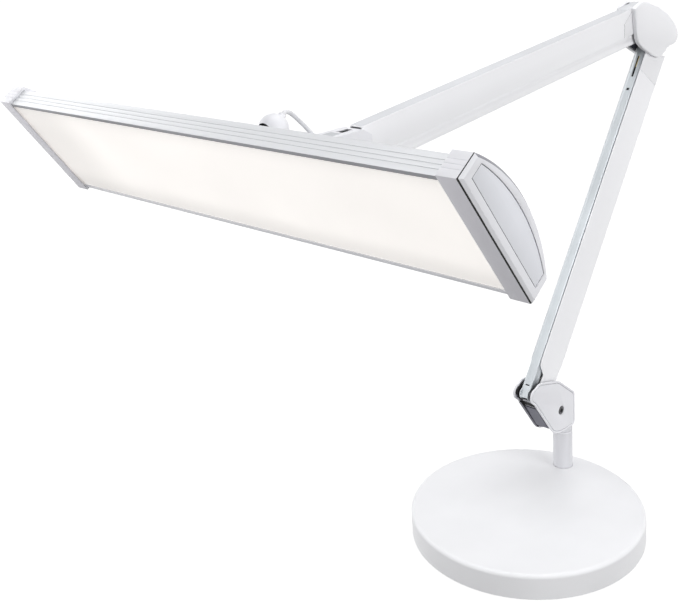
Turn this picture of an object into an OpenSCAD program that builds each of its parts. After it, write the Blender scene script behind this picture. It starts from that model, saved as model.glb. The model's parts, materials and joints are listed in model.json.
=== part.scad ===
// LED task lamp: a long lit head on a double balanced arm that stands on a round weighted base.
// Millimetres. Origin at the middle of the base's underside, +Z up, the head reaches to -Y.

/* [Base] */
// Diameter of the round base
base_d = 240; // [220:1:300]
// Height of the base
base_h = 26.4; // [22:0.2:45]
// Sheet thickness of the base cover
base_wall = 2.4; // [1.5:0.1:3.5]
// Radius of the rounded top edge
base_round = 4; // [3.6:0.2:8]
// Thickness of the pad under the base
pad_h = 2.4; // [1.6:0.1:4]
// Height of the cover's rim above the ground
rim_lift = 1; // [0.4:0.1:1.4]
// Thickness of the steel weight
weight_h = 14; // [11:0.5:15]

/* [Post] */
// Distance of the post to the left of the middle
post_left = 17; // [0:0.5:30]
// Distance of the post behind the middle
post_back = 94.5; // [60:0.5:95]
// Outer diameter of the post
post_d = 21.2; // [20:0.2:24]
// Height of the sleeve's top above the ground
sleeve_top = 68; // [60:0.5:90]
// Height of the bush's visible flange
flange_h = 1.5; // [0.8:0.1:3]
// Height of the turning collar above the bush
collar_h = 6.4; // [4:0.1:12]
// Diameter of the turning spigot
spigot_d = 12; // [10:0.5:13]
// Wall of the bush around the spigot
bush_wall = 1.5; // [1:0.1:2]

/* [Bracket and cheeks] */
// Half the distance between the frame plates
plate_in = 7.8; // [7.6:0.1:9]
// Thickness of the frame plates
plate_t = 1.8; // [1.2:0.1:2.5]
// Thickness of the cheek covers
cover_t = 1.85; // [1.5:0.05:3]
// Width of the rim outside the groove of a bracket cheek cover
cover_rim = 2; // [1.5:0.1:4]
// Depth of that groove and of the step around an elbow cover
cover_step = 0.5; // [0.2:0.1:0.8]
// Diameter of the main pivot pins
pin_d = 6; // [4:0.5:7]
// Diameter of the link pivot pins
link_pin_d = 5; // [3:0.5:5]
// Thickness of the dark web between the bracket plates
web_t = 2; // [1.2:0.2:3]
// Shank diameter of the cheek screw
clamp_d = 5; // [4:0.5:6]
// Head diameter of the cheek screw
clamp_head_d = 8.4; // [7.4:0.2:9.4]

/* [Arms] */
// Outer width of the arm channels
arm_w = 13.6; // [12.8:0.1:14]
// Sheet thickness of the arm channels
arm_wall = 1.2; // [0.8:0.1:1.3]
// Outer width of the link channels
link_w = 10; // [8:0.2:10.2]
// Sheet thickness of the link channels
link_wall = 1; // [0.7:0.1:1.2]
// Pivot to pivot length of the lower arm
lower_len = 428; // [380:1:480]
// Backward lean of the lower arm from upright
lower_lean = 35.6; // [32:0.2:38]
// Pivot to pivot length of the upper arm
upper_len = 475; // [430:1:520]
// Downward slope of the upper arm to the front
upper_slope = 6.4; // [4:0.2:9]
// Outer diameter of the balance springs
spring_d = 7; // [5:0.5:8]

/* [Knuckle] */
// Distance of the swivel axis in front of the upper arm's front pivot
swivel_reach = 82.5; // [78:0.5:95]
// Diameter of the domed knuckle
dome_d = 24; // [22:0.5:25]
// Height of the straight part of the dome
dome_straight = 15; // [13:0.5:18]
// Thickness of the tongue that carries the knuckle
tongue_t = 4; // [3:0.2:4.4]
// Diameter of the swivel pin
swivel_d = 6; // [4:0.5:7]
// Diameter of the tilt pin
tilt_d = 5; // [3:0.5:6]

/* [Head] */
// Length of the head over its end caps
head_len = 507; // [420:1:600]
// Width of the head over its end caps
head_w = 114; // [106:1:130]
// Depth of the head over its end caps
head_depth = 35; // [33:0.5:40]
// Height of the straight side walls of the end caps
side_h = 19.5; // [17:0.5:21]
// Lean of the head's back from straight up
head_lean = 54.5; // [50:0.5:58]
// Visible length of an end cap
cap_len = 17.5; // [15:0.5:25]
// How far the end caps stand proud of the housing
cap_proud = 2.5; // [1.6:0.1:3]
// Wall of the housing
house_wall = 2; // [1.4:0.1:2.4]
// Thickness of the diffuser
diffuser_t = 2.4; // [1.5:0.1:4]
// Thickness of the light board
board_t = 1.6; // [1:0.2:2.4]
// Light chips along the board
chip_count = 18; // [8:1:30]
// Diameter of the push buttons
button_d = 12; // [8:0.5:14]
// Diameter of the lead to the head
lead_d = 3.6; // [3:0.1:4]

/* [Hidden] */
$fn = 48;
// Radial play of a fixed fit, of a turning fit and of an open link pivot
fit = 0.02;
run_fit = 0.05;
open_fit = 0.3;
// Least room between pieces that move past each other
room = 0.35;
// Overlap of joined shapes and of cuts
eps = 0.5;
// Seam between pieces that lie side by side
seam = 0.05;

// Post and bracket places
post = [-post_left, post_back, 0];
flange_top = sleeve_top + flange_h;
collar_z = flange_top + room;
bracket_z = collar_z + collar_h;
weight_top = pad_h + weight_h;
bush_d = spigot_d + 2 * run_fit + 2 * bush_wall;
bush_low = weight_top + 12;
stub_d = 14;
stub_up = 13;
nut_h = 5;
boss_d = 9;
boss_count = 4;
boss_at = base_d / 2 - 26;
base_screw_d = 3.4;

// Cheek layers, counted from the arm plane
plate_out = plate_in + plate_t;
cover_in = plate_out + seam;
cover_out = cover_in + cover_t;
arm_x = arm_w / 2;
link_x = link_w / 2;
washer_d = 14;
rim_groove = 0.8;

// Bracket outline in the arm plane, from the foot of the bracket behind and above the post
p1 = [-44, bracket_z + 54.7];
link_off = [-22, 6];
p2 = p1 + link_off;
bracket_pts = [[-71.5, 54.4], [-67.5, 51.2], [-50.7, 27.7], [-38, 10.2], [-34.4, 6.2], [-29.5, 3.4],
  [-22.7, 1.2], [-12, 0], [3.2, 0], [5.8, 1.6], [6.9, 5], [6.9, 36], [5.6, 39.4], [-20, 60.2],
  [-25.5, 63.2], [-55.1, 71.9], [-60, 71.6], [-66, 69.1]];
bracket_corner = 8.4;
block_pts = [[-33.6, 9.2], [-28.6, 5.4], [-22.4, 3.2], [-12, 2], [4.4, 2], [4.4, 33], [-26, 33], [-26, 12]];
web_from = [-65.4, 48.3];
web_to = [-34.8, 6.7];
web_back = 2.6;
edge_lip = 3.4;
clamp_at = [-19.2, 26.5];

// Lower arm: u runs along the arm from its lower pivot and v to its front
lower_dir = [sin(lower_lean), cos(lower_lean)];
p3 = p1 + lower_len * lower_dir;
p4 = p3 + link_off;
lower_web = -16.6;
lower_front = 25;
neck_back = -14.8;
neck_front = 13;
lower_cap_len = 56;
tongue_in = 20;
lower_end = lower_len - lower_cap_len;
lower_round = 11;
neck_top = 9;
hook_d = 4;
hook_x = arm_x - arm_wall - seam;
lower_hook = [290, -6];
lower_spring_len = 150;

// Elbow outline from the lower arm's upper pivot
p5 = p3 + [-39.1, 28];
upper_off = [2, -21];
p6 = p5 + upper_off;
elbow_pts = [[-72.8, 38], [-69.3, 11.7], [-67.6, 5], [-63.8, -1], [-56, -6.6], [-45.3, -12.2], [-28.8, -19.9],
  [-20, -22.2], [-13.5, -21.4], [-6.6, -18.1], [-0.8, -14.2], [6, -12.4], [16, -11.2], [19.5, -9.8],
  [23, -6], [24, -1.2], [22.4, 4.4], [14.3, 13.7], [0, 24.4], [-20.5, 34.4], [-51.4, 43.7],
  [-58, 44], [-64.3, 41.9], [-70, 40.6]];
elbow_wall_pts = [[-20.5, 60], [40, 60], [40, -6], [16, -6], [-20.5, 20]];
elbow_wall = 2;
elbow_rim = 1.5;
elbow_reach = 24.1;
spacer_at = [-2.1, 18];
spacer_d = 7;

// Upper arm: u runs along the arm from its rear pivot and v downwards
upper_dir = [-cos(upper_slope), -sin(upper_slope)];
p7 = p5 + upper_len * upper_dir;
p8 = p7 + upper_off;
upper_top = -13.5;
upper_low = 14.5;
upper_round = 8.5;
upper_taper = 9;
taper_in = 2;
taper_low = 6.6;
end_shoulder = 5.5;
low_taper = 30;
rear_round = 14;
arm_seam = 0.4;
rear_seam = [[27, -13.5], [48.5, 0], [50, 14.5]];
bump_top = -15.4;
upper_hook = [330, -4];
upper_spring_len = 150;
link_round = 6;
lower_link_web = 4.2;
wire_slot_down = 58;
wire_slot_len = 26;
wire_slot_w = 2.6;
eye_down = 75;
eye = 3;
tab_up = 8;
tab_h = 1.4;
tab_w = 5;
upper_link_web = 5.4;

// Head bracket outline from the upper arm's front pivot
end_pts = [[14, 7], [4.4, 12.9], [-26, 12.9], [-29, 12], [-32, 8.9], [-30.5, 4], [-24, -10], [-14, -27],
  [-8, -31], [8, -31], [14, -26]];
end_wall = 1.5;
slot_w = 8;
slot_len = 13;
end_block = [[-27, 2], [-15, 2], [-15, 10.8], [-27, 10.8]];
tongue_z = p7[1] + 9;
tongue_half = 6;
tongue_in_cover = 16;
tongue_ring = 8.5;

// Knuckle and tilt axis
swivel = p7 - [swivel_reach, 0];
dome_z = tongue_z + tongue_t + 1;
dome_mid = dome_z + dome_straight;
tilt = [swivel[0] - 18, tongue_z + 9.5];
neck_half = 4.5;
neck_r = 5;
lug_in = 5;
lug_t = 4;
lug_r = 6;
window_r = 8.4;

// Head frame: x along the head, y to its rear edge, z to its back
tilt_n = head_depth + 10;
tilt_y = 8;
head_back = [sin(head_lean), cos(head_lean)];
head_rear = [cos(head_lean), -sin(head_lean)];
head_mid = tilt - tilt_n * head_back - tilt_y * head_rear;
half_len = head_len / 2;
cap_x = half_len - cap_len;
house_half = head_w / 2 - cap_proud;
house_low = 1.2;
house_top = head_depth - 1.8;
house_side = side_h - 1.5;
house_end = cap_x + 9;
lip = 1.5;
lip_t = 0.9;
pane_half = house_half - house_wall - 0.15;
board_n = 11;
rib_y = 36;
rib_n = house_side + 1;
rib_d = 7;
rib_web = 3;
cap_screw_d = 3;
panel_inset = 7.5;
cap_edge = 2.2;
groove_w = 0.4;
groove_deep = 0.2;
groove_first = 4.6;
groove_pitch = 3.6;
groove_count = 3;
panel_t = 1.2;
panel_gap = 0.3;
mount_half = 17;
mount_t = 3;
driver_len = 120;
driver_w = 36;
chip = 3;
chip_h = 0.8;
chip_margin = 20;
button_from_end = [85.5, 61.5];
button_x = [for (b = button_from_end) half_len - b];
gland_d = 6.4;
gland_h = 1.6;
gland_rise = 43;
// Stations of the lead from the upper arm's front pivot: across, backwards, up
lead_route = [[0, -77.4, 33.4], [0, -74, 36.8], [-0.5, -70.8, 38.9], [-1.4, -67, 39.5], [-2.6, -62.2, 37.6],
  [-3.8, -56.4, 33.6], [-5.2, -50, 28.4], [-6.6, -44.2, 23.6], [-8, -38.6, 18.6], [-8.8, -34, 14.2],
  [-9, -29.9, 9.7]];
lead_steps = 2;
lead_pts = [for (q = smooth(lead_route, lead_steps)) q + [0, p7[0], p7[1]]];
lead_end = lead_pts[len(lead_pts) - 1];
lead_fall = 39;
lead_sides = 8;

// Extrudes an arm-plane outline from lo to hi across the arms.
module side(lo, hi) {
  translate([post[0] + lo, post[1], 0])
    rotate([90, 0, 90])
      linear_extrude(hi - lo)
        children();
}

// The same outline on both sides of the arm plane.
module pair(lo, hi) {
  side(lo, hi) children();
  side(-hi, -lo) children();
}

// A round bar across the arms at a point of the arm plane.
module bar(at, d, lo, hi) {
  translate([post[0] + lo, post[1] + at[0], at[1]])
    rotate([0, 90, 0])
      cylinder(d = d, h = hi - lo);
}

// Places an outline along an arm.
module limb(at, dir) {
  translate(at)
    rotate(atan2(dir[1], dir[0]))
      children();
}

// Point of a smooth line from station b to station c, at a share s of the way.
function between(a, b, c, d, s) =
  (2 * b + (c - a) * s + (2 * a - 5 * b + 4 * c - d) * s * s + (3 * b - a - 3 * c + d) * s * s * s) / 2;

// Smooth line through stations, with n points from each one to the next.
function smooth(p, n) = concat(
  [for (i = [0 : len(p) - 2], k = [0 : n - 1])
    between(i > 0 ? p[i - 1] : 2 * p[0] - p[1], p[i], p[i + 1],
      i < len(p) - 2 ? p[i + 2] : 2 * p[i + 1] - p[i], k / n)],
  [p[len(p) - 1]]);

// Point of an arm's own frame in the arm plane.
function on_limb(at, dir, p) = at + p[0] * dir + p[1] * [-dir[1], dir[0]];

// Places children in the head's own frame.
module on_head() {
  translate([post[0], post[1] + head_mid[0], head_mid[1]])
    rotate([-head_lean, 0, 0])
      children();
}

// A bar along the head with straight sides and an arched back.
module arched(half, low, side_top, top, lo, hi) {
  rise = top - side_top;
  r = (half * half + rise * rise) / (2 * rise);
  intersection() {
    translate([lo, -half, low])
      cube([hi - lo, 2 * half, top - low]);
    translate([lo - eps, 0, top - r])
      rotate([0, 90, 0])
        cylinder(r = r, h = hi - lo + 2 * eps, $fn = 180);
  }
}

// Ring lying flat at a height.
module ring(outer, inner, lo, hi) {
  difference() {
    translate([0, 0, lo])
      cylinder(d = outer, h = hi - lo);
    translate([0, 0, lo - eps])
      cylinder(d = inner, h = hi - lo + 2 * eps);
  }
}

module boss_places() {
  for (i = [0 : boss_count - 1])
    rotate(i * 360 / boss_count + 45)
      translate([boss_at, 0, 0])
        children();
}

module base_cover() {
  r = base_d / 2;
  steps = 8;
  outer = [for (i = [0 : steps])
    [r - base_round + base_round * sin(90 * i / steps),
      base_h - base_round + base_round * cos(90 * i / steps)]];
  in_r = base_round - base_wall;
  inner = [for (i = [steps : -1 : 0])
    [r - base_round + in_r * sin(90 * i / steps), base_h - base_round + in_r * cos(90 * i / steps)]];
  profile = concat([[0, base_h]], outer, [[r, rim_lift], [r - base_wall, rim_lift]], inner,
    [[0, base_h - base_wall]]);
  color("white") difference() {
    union() {
      rotate_extrude($fn = 180)
        polygon(profile);
      boss_places()
        translate([0, 0, weight_top])
          cylinder(d = boss_d, h = base_h - base_wall - weight_top + eps);
    }
    boss_places()
      translate([0, 0, weight_top - eps])
        cylinder(d = base_screw_d, h = base_h - base_wall - weight_top + eps);
    translate([post[0], post[1], 0])
      cylinder(d = post_d + 2 * open_fit, h = base_h + eps);
  }
}

module base_weight() {
  color("dimgray") difference() {
    translate([0, 0, pad_h])
      cylinder(d = base_d - 2 * base_wall - 2 * room, h = weight_h, $fn = 180);
    translate([post[0], post[1], 0])
      cylinder(d = stub_d + 2 * fit, h = weight_top + eps);
    translate([post[0], post[1], 0])
      cylinder(d = post_d + eps, h = pad_h + nut_h + 2 * eps);
    boss_places()
      cylinder(d = base_screw_d + 2 * fit, h = weight_top + eps);
    boss_places()
      cylinder(d = 2 * base_screw_d + 2 * fit, h = pad_h + nut_h);
  }
}

module base_pad() {
  color("darkgray")
    cylinder(d = base_d - 2 * base_wall - 2 * room, h = pad_h, $fn = 180);
}

module base_screws() {
  color("silver") boss_places() {
    translate([0, 0, pad_h + nut_h - base_screw_d])
      cylinder(d = 2 * base_screw_d, h = base_screw_d);
    translate([0, 0, pad_h + nut_h - eps])
      cylinder(d = base_screw_d - 2 * fit, h = base_h - base_wall - pad_h - nut_h - 1);
  }
}

module post_sleeve() {
  color("white") translate([post[0], post[1], 0]) difference() {
    union() {
      translate([0, 0, weight_top])
        cylinder(d = post_d, h = sleeve_top - weight_top);
      translate([0, 0, pad_h + 1])
        cylinder(d = stub_d, h = weight_h);
    }
    translate([0, 0, bush_low])
      cylinder(d = bush_d + 2 * fit, h = sleeve_top);
  }
}

module sleeve_nut() {
  color("silver") translate([post[0], post[1], 0]) difference() {
    translate([0, 0, pad_h + 2 * eps])
      cylinder(d = post_d, h = nut_h, $fn = 6);
    cylinder(d = stub_d + 2 * fit, h = weight_top);
  }
}

module sleeve_bush() {
  color("whitesmoke") translate([post[0], post[1], 0]) difference() {
    union() {
      translate([0, 0, bush_low + seam])
        cylinder(d = bush_d, h = flange_top - bush_low - seam);
      translate([0, 0, sleeve_top])
        cylinder(d = post_d, h = flange_h);
    }
    cylinder(d = spigot_d + 2 * run_fit, h = flange_top + eps);
  }
}

module swivel_spigot() {
  color("white") translate([post[0], post[1], 0]) {
    translate([0, 0, bush_low + 1])
      cylinder(d = spigot_d, h = bracket_z + stub_up - bush_low - 1);
    translate([0, 0, collar_z])
      cylinder(d = post_d, h = collar_h);
  }
}

// Outline of a bracket cheek.
module bracket_outline() {
  translate([0, bracket_z])
    polygon(bracket_pts);
  translate(p2)
    circle(bracket_corner);
}

module bracket_frame() {
  run = web_to - web_from;
  color("dimgray") difference() {
    union() {
      pair(plate_in, plate_out)
        offset(delta = -plate_t)
          bracket_outline();
      side(-plate_in - eps, plate_in + eps)
        translate([0, bracket_z])
          polygon(block_pts);
      side(-plate_in - eps, plate_in + eps)
        translate([0, bracket_z])
          limb(web_from, run)
            translate([0, web_back])
              square([norm(run), web_t]);
      side(-cover_out, -plate_in)
        bracket_lip(edge_lip);
    }
    bar(p1, pin_d + 2 * fit, -plate_out - eps, plate_out + eps);
    bar(p2, link_pin_d + 2 * fit, -plate_out - eps, plate_out + eps);
    bar(clamp_at + [0, bracket_z], clamp_d + 2 * fit, -plate_out - eps, plate_out + eps);
    translate([post[0], post[1], 0])
      cylinder(d = spigot_d + 2 * fit, h = bracket_z + stub_up + seam);
  }
}

// Strip of the bracket's outline along its front edge.
module bracket_lip(wide) {
  run = web_to - web_from;
  intersection() {
    bracket_outline();
    translate([0, bracket_z])
      limb(web_from, run)
        translate([0, -wide])
          square([norm(run), 2 * wide]);
  }
}

// Cheek cover of the bracket on the right-hand side, with a groove inside its rim.
module bracket_cover() {
  difference() {
    side(cover_in, cover_out)
      bracket_outline();
    side(cover_out - cover_step, cover_out + eps)
      difference() {
        offset(delta = -cover_rim)
          bracket_outline();
        offset(delta = -cover_rim - rim_groove)
          bracket_outline();
      }
    bar(clamp_at + [0, bracket_z], clamp_d + 2 * fit, plate_in, cover_out + eps);
    bar(clamp_at + [0, bracket_z], clamp_head_d + 2, cover_out - 1, cover_out + eps);
  }
}

// The other hand of a piece, across the arm plane.
module other_side() {
  translate([2 * post[0], 0, 0])
    mirror([1, 0, 0])
      children();
}

module bracket_cover_right() {
  color("white") bracket_cover();
}

module bracket_cover_left() {
  color("white") difference() {
    other_side() bracket_cover();
    side(-cover_out - eps, -plate_in)
      bracket_lip(edge_lip + seam);
  }
}

module clamp_screw() {
  at = clamp_at + [0, bracket_z];
  color("gray") difference() {
    union() {
      bar(at, clamp_d, -cover_out + 0.3, cover_out - 1);
      bar(at, clamp_head_d, cover_out - 1, cover_out - seam);
    }
    translate([post[0] + cover_out - 0.9, post[1] + at[0], at[1]])
      rotate([0, 90, 0])
        cylinder(d = clamp_d, h = 1 + eps, $fn = 6);
  }
}

module clamp_nut() {
  at = clamp_at + [0, bracket_z];
  color("gray") difference() {
    translate([post[0] - cover_out + 0.1, post[1] + at[0], at[1]])
      rotate([0, 90, 0])
        cylinder(d = clamp_head_d, h = 0.9, $fn = 6);
    bar(at, clamp_d + 2 * fit, -cover_out - eps, -plate_in);
  }
}

module arm_pivot_pin() {
  color("silver") bar(p1, pin_d, -plate_out, plate_out);
}

module link_pivot_pin() {
  color("silver") bar(p2, link_pin_d, -plate_out, plate_out);
}

// Two thin washers between an arm and its frame plates.
module washer_pair(at) {
  difference() {
    union() {
      bar(at, washer_d, arm_x + room, plate_in);
      bar(at, washer_d, -plate_in, -arm_x - room);
    }
    bar(at, pin_d + 2 * fit, -plate_in - eps, plate_in + eps);
  }
}

module bracket_washers() {
  color("black") washer_pair(p1);
}

// Side of the lower arm's metal channel.
module lower_flange() {
  polygon([[0, neck_back], [27, neck_back], [34, lower_web], [lower_end, lower_web], [lower_end, lower_front],
    [30, lower_front], [23.9, 23.4], [20.6, 19], [16.8, neck_front], [0, neck_front]]);
  translate([0, (neck_front + neck_back) / 2])
    circle((neck_front - neck_back) / 2);
}

module lower_arm_channel() {
  t = arm_wall;
  color("white") difference() {
    union() {
      pair(arm_x - t, arm_x)
        limb(p1, lower_dir)
          lower_flange();
      side(-arm_x + t / 2, arm_x - t / 2)
        limb(p1, lower_dir)
          polygon([[16, neck_back], [27, neck_back], [34, lower_web], [lower_end, lower_web],
            [lower_end, lower_web + t], [34 + t / 4, lower_web + t], [27 + t / 4, neck_back + t],
            [16, neck_back + t]]);
    }
    bar(p1, pin_d + 2 * run_fit, -arm_x - eps, arm_x + eps);
  }
}

// Side of the lower arm's upper end, from u on: wide up to the elbow, then a narrow neck.
module cap_flange(u) {
  difference() {
    polygon([[u, lower_web], [lower_len, lower_web], [lower_len, lower_round], [lower_len - 20, lower_round],
      [lower_len - 30, lower_front], [u, lower_front]]);
    translate([lower_len, 0])
      intersection() {
        circle(elbow_reach + room);
        translate([-2 * elbow_reach, -2 * elbow_reach])
          square([4 * elbow_reach, 2 * elbow_reach - neck_top]);
      }
  }
  translate([lower_len, 0])
    circle(lower_round);
}

module lower_arm_cap() {
  t = arm_wall;
  u = lower_end + seam;
  color("white") difference() {
    union() {
      pair(arm_x - t, arm_x)
        limb(p1, lower_dir)
          intersection() {
            cap_flange(u);
            translate([u, -2 * lower_front])
              square([lower_len, 4 * lower_front]);
          }
      side(-arm_x + t / 2, arm_x - t / 2)
        limb(p1, lower_dir)
          intersection() {
            difference() {
              cap_flange(u);
              offset(delta = -t)
                cap_flange(u - 3 * t);
            }
            translate([u, lower_web - eps])
              square([lower_len - lower_round - u, -lower_web + eps]);
          }
      side(-arm_x + t + seam, arm_x - t - seam)
        limb(p1, lower_dir)
          translate([u - tongue_in, lower_web + t + seam])
            square([tongue_in + 2 * t, t]);
    }
    bar(p3, pin_d + 2 * run_fit, -arm_x - eps, arm_x + eps);
  }
}

// Balance spring: a rod that stretches from a hook pin towards the arm's foot.
module spring(at, dir, hook, long) {
  from = on_limb(at, dir, hook - [hook_d / 2, 0]);
  translate([post[0], post[1] + from[0], from[1]])
    rotate([atan2(dir[1], dir[0]) + 90, 0, 0])
      cylinder(d = spring_d, h = long);
}

module lower_spring() {
  color("silver") spring(p1, lower_dir, lower_hook, lower_spring_len);
}

module lower_hook_pin() {
  color("silver") bar(on_limb(p1, lower_dir, lower_hook), hook_d, -hook_x, hook_x);
}

// Folded link strip between two pivots, open away from its web.
module link(at, dir, long, web, start, stop) {
  t = link_wall;
  difference() {
    union() {
      pair(link_x - t, link_x)
        limb(at, dir) {
          translate([0, -link_round])
            square([long, link_round + web]);
          circle(link_round);
          translate([long, 0])
            circle(link_round);
        }
      side(-link_x + t / 2, link_x - t / 2)
        limb(at, dir)
          translate([start, web - t])
            square([long - start - stop, t]);
    }
    bar(at, link_pin_d + 2 * run_fit, -link_x - eps, link_x + eps);
    bar(at + long * dir, link_pin_d + 2 * open_fit, -link_x - eps, link_x + eps);
  }
}

// Cuts through a link's web: from u to u + long, as wide as given.
module web_cut(at, dir, web, u, long, wide) {
  side(-wide / 2, wide / 2)
    limb(at, dir)
      translate([u, web - link_wall - eps])
        square([long, link_wall + 2 * eps]);
}

module lower_link_channel() {
  color("lightgray") difference() {
    link(p2, lower_dir, lower_len, lower_link_web, -link_round + 1, 8);
    web_cut(p2, lower_dir, lower_link_web, lower_len - wire_slot_down, wire_slot_len, wire_slot_w);
    web_cut(p2, lower_dir, lower_link_web, lower_len - eye_down, eye, eye);
    web_cut(p2, lower_dir, lower_link_web, tab_up, tab_h, tab_w);
  }
}

// Outline of an elbow cheek.
module elbow_outline() {
  translate(p3)
    polygon(elbow_pts);
}

module elbow_frame() {
  color("dimgray") difference() {
    union() {
      pair(plate_in, plate_out)
        offset(delta = -plate_t - elbow_wall)
          elbow_outline();
      bar(p3 + spacer_at, spacer_d, -plate_in - eps, plate_in + eps);
    }
    bar(p3, pin_d + 2 * fit, -plate_out - eps, plate_out + eps);
    bar(p4, link_pin_d + 2 * fit, -plate_out - eps, plate_out + eps);
    bar(p5, pin_d + 2 * fit, -plate_out - eps, plate_out + eps);
    bar(p6, link_pin_d + 2 * fit, -plate_out - eps, plate_out + eps);
    bar(p3 + spacer_at, base_screw_d, -plate_out - eps, plate_out + eps);
  }
}

// Half cover of the elbow on the right-hand side, with its share of the rear wall.
module elbow_cover() {
  difference() {
    union() {
      side(cover_in, cover_out - cover_step)
        elbow_outline();
      side(cover_in, cover_out)
        offset(delta = -cover_step)
          elbow_outline();
      side(arm_x + room, cover_in + eps)
        difference() {
          elbow_outline();
          offset(delta = -elbow_rim)
            elbow_outline();
        }
      side(seam, cover_in + eps)
        intersection() {
          difference() {
            elbow_outline();
            offset(delta = -elbow_wall)
              elbow_outline();
          }
          translate(p3)
            polygon(elbow_wall_pts);
        }
    }
    bar(p3 + spacer_at, base_screw_d + 2 * fit, plate_in, cover_out - 1);
  }
}

module elbow_cover_right() {
  color("white") elbow_cover();
}

module elbow_cover_left() {
  color("white") difference() {
    other_side() elbow_cover();
    bar(p3 + spacer_at, base_screw_d + 2 * fit, -cover_out - eps, -plate_in);
    bar(p3 + spacer_at, 2 * base_screw_d, -cover_out - eps, -cover_out + 1);
  }
}

module elbow_screws() {
  color("gray") {
    bar(p3 + spacer_at, base_screw_d - 2 * fit, -cover_out + 0.9, cover_in + cover_t / 2 - 0.2);
    bar(p3 + spacer_at, 2 * base_screw_d - 4 * fit, -cover_out + seam, -cover_out + 1);
  }
}

module elbow_pins() {
  color("silver") {
    bar(p3, pin_d, -plate_out, plate_out);
    bar(p4, link_pin_d, -plate_out, plate_out);
    bar(p5, pin_d, -plate_out, plate_out);
    bar(p6, link_pin_d, -plate_out, plate_out);
  }
}

module elbow_washers() {
  color("black") {
    washer_pair(p3);
    washer_pair(p5);
  }
}

module upper_arm_channel() {
  t = arm_wall;
  color("white") difference() {
    union() {
      pair(arm_x - t, arm_x)
        limb(p5, upper_dir) {
          polygon(concat(rear_seam, [[upper_len - low_taper, upper_low], [upper_len, upper_round],
            [upper_len, -upper_round], [upper_len - end_shoulder, -upper_round],
            [upper_len - upper_taper + taper_in, -taper_low], [upper_len - upper_taper, upper_top]]));
          translate([upper_len, 0])
            circle(upper_round);
        }
      side(-arm_x + t / 2, arm_x - t / 2)
        limb(p5, upper_dir)
          polygon([rear_seam[0], [upper_len - upper_taper, upper_top],
            [upper_len - upper_taper, upper_top + t], rear_seam[0] + [t, t]]);
    }
    bar(p7, pin_d + 2 * run_fit, -arm_x - eps, arm_x + eps);
  }
}

module upper_arm_cap() {
  t = arm_wall;
  color("white") difference() {
    union() {
      pair(arm_x - t, arm_x)
        limb(p5, upper_dir) {
          polygon([[0, -rear_round], [rear_seam[0][0] - arm_seam, -rear_round], rear_seam[0] - [arm_seam, 0],
            rear_seam[1] - [arm_seam, 0], rear_seam[2] - [arm_seam, 0], [0, rear_round]]);
          circle(rear_round);
        }
      side(-arm_x, arm_x)
        limb(p5, upper_dir)
          polygon([[2, -rear_round], [4, bump_top], [34, bump_top], [41, upper_top - seam],
            [27 - arm_seam, upper_top - seam], [27 - arm_seam, upper_top + t], [2, upper_top + t]]);
      side(-arm_x + t + seam, arm_x - t - seam)
        limb(p5, upper_dir)
          polygon([[8, upper_top + t / 2], [18, upper_top + t / 2], [25.5, upper_top + t + seam],
            [60, upper_top + t + seam], [60, upper_top + 2 * t + seam], [8, upper_top + 2 * t + seam]]);
    }
    bar(p5, pin_d + 2 * run_fit, -arm_x - eps, arm_x + eps);
  }
}

module upper_spring() {
  color("silver") spring(p5, upper_dir, upper_hook, upper_spring_len);
}

module upper_hook_pin() {
  color("silver") bar(on_limb(p5, upper_dir, upper_hook), hook_d, -hook_x, hook_x);
}

module upper_link_channel() {
  color("lightgray") link(p6, upper_dir, upper_len, upper_link_web, 12, 12);
}

// Outline of the head bracket's cheek.
module end_outline() {
  translate(p7)
    polygon(end_pts);
}

module head_bracket() {
  color("silver") difference() {
    union() {
      pair(plate_in, plate_out)
        offset(delta = -end_wall - seam)
          end_outline();
      side(-plate_in - eps, plate_in + eps)
        translate(p7)
          polygon(end_block);
      translate([post[0] - tongue_half, post[1] + swivel[0], tongue_z])
        cube([2 * tongue_half, swivel_reach - tongue_in_cover, tongue_t]);
      translate([post[0], post[1] + swivel[0], tongue_z])
        cylinder(r = tongue_ring, h = tongue_t);
    }
    bar(p7, pin_d + 2 * fit, -plate_out - eps, plate_out + eps);
    bar(p8, link_pin_d + 2 * fit, -plate_out - eps, plate_out + eps);
    translate([post[0], post[1] + swivel[0], tongue_z - eps])
      cylinder(d = swivel_d + 2 * run_fit, h = tongue_t + 2 * eps);
  }
}

module arm_end_cover() {
  color("white") difference() {
    side(-cover_out, cover_out)
      end_outline();
    side(-cover_in, cover_in)
      offset(delta = -end_wall)
        end_outline();
    side(-cover_in, cover_in)
      translate(p7)
        polygon([[-8, -9], [-8, 12.1], [end_pts[1][0], 12.1], [end_pts[1][0], 20],
          [end_pts[0][0] + eps, 20], [end_pts[0][0] + eps, -40],
          [-30, -40], [-16, -20]]);
    side(-slot_w / 2, slot_w / 2)
      translate(p7 + [-slot_len, 0])
        square([slot_len, 14]);
    translate([post[0] - tongue_half - seam, post[1] + p7[0] - 40, tongue_z - seam])
      cube([2 * tongue_half + 2 * seam, 40 - tongue_in_cover + seam, tongue_t + 2 * seam]);
    translate(post + lead_end)
      rotate([lead_fall, 0, 0])
        cylinder(d = lead_d + 2 * open_fit, h = 8, center = true);
  }
}

module head_bracket_pins() {
  color("silver") {
    bar(p7, pin_d, -plate_out, plate_out);
    bar(p8, link_pin_d, -plate_out, plate_out);
  }
}

module head_bracket_washers() {
  color("black") washer_pair(p7);
}

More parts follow.
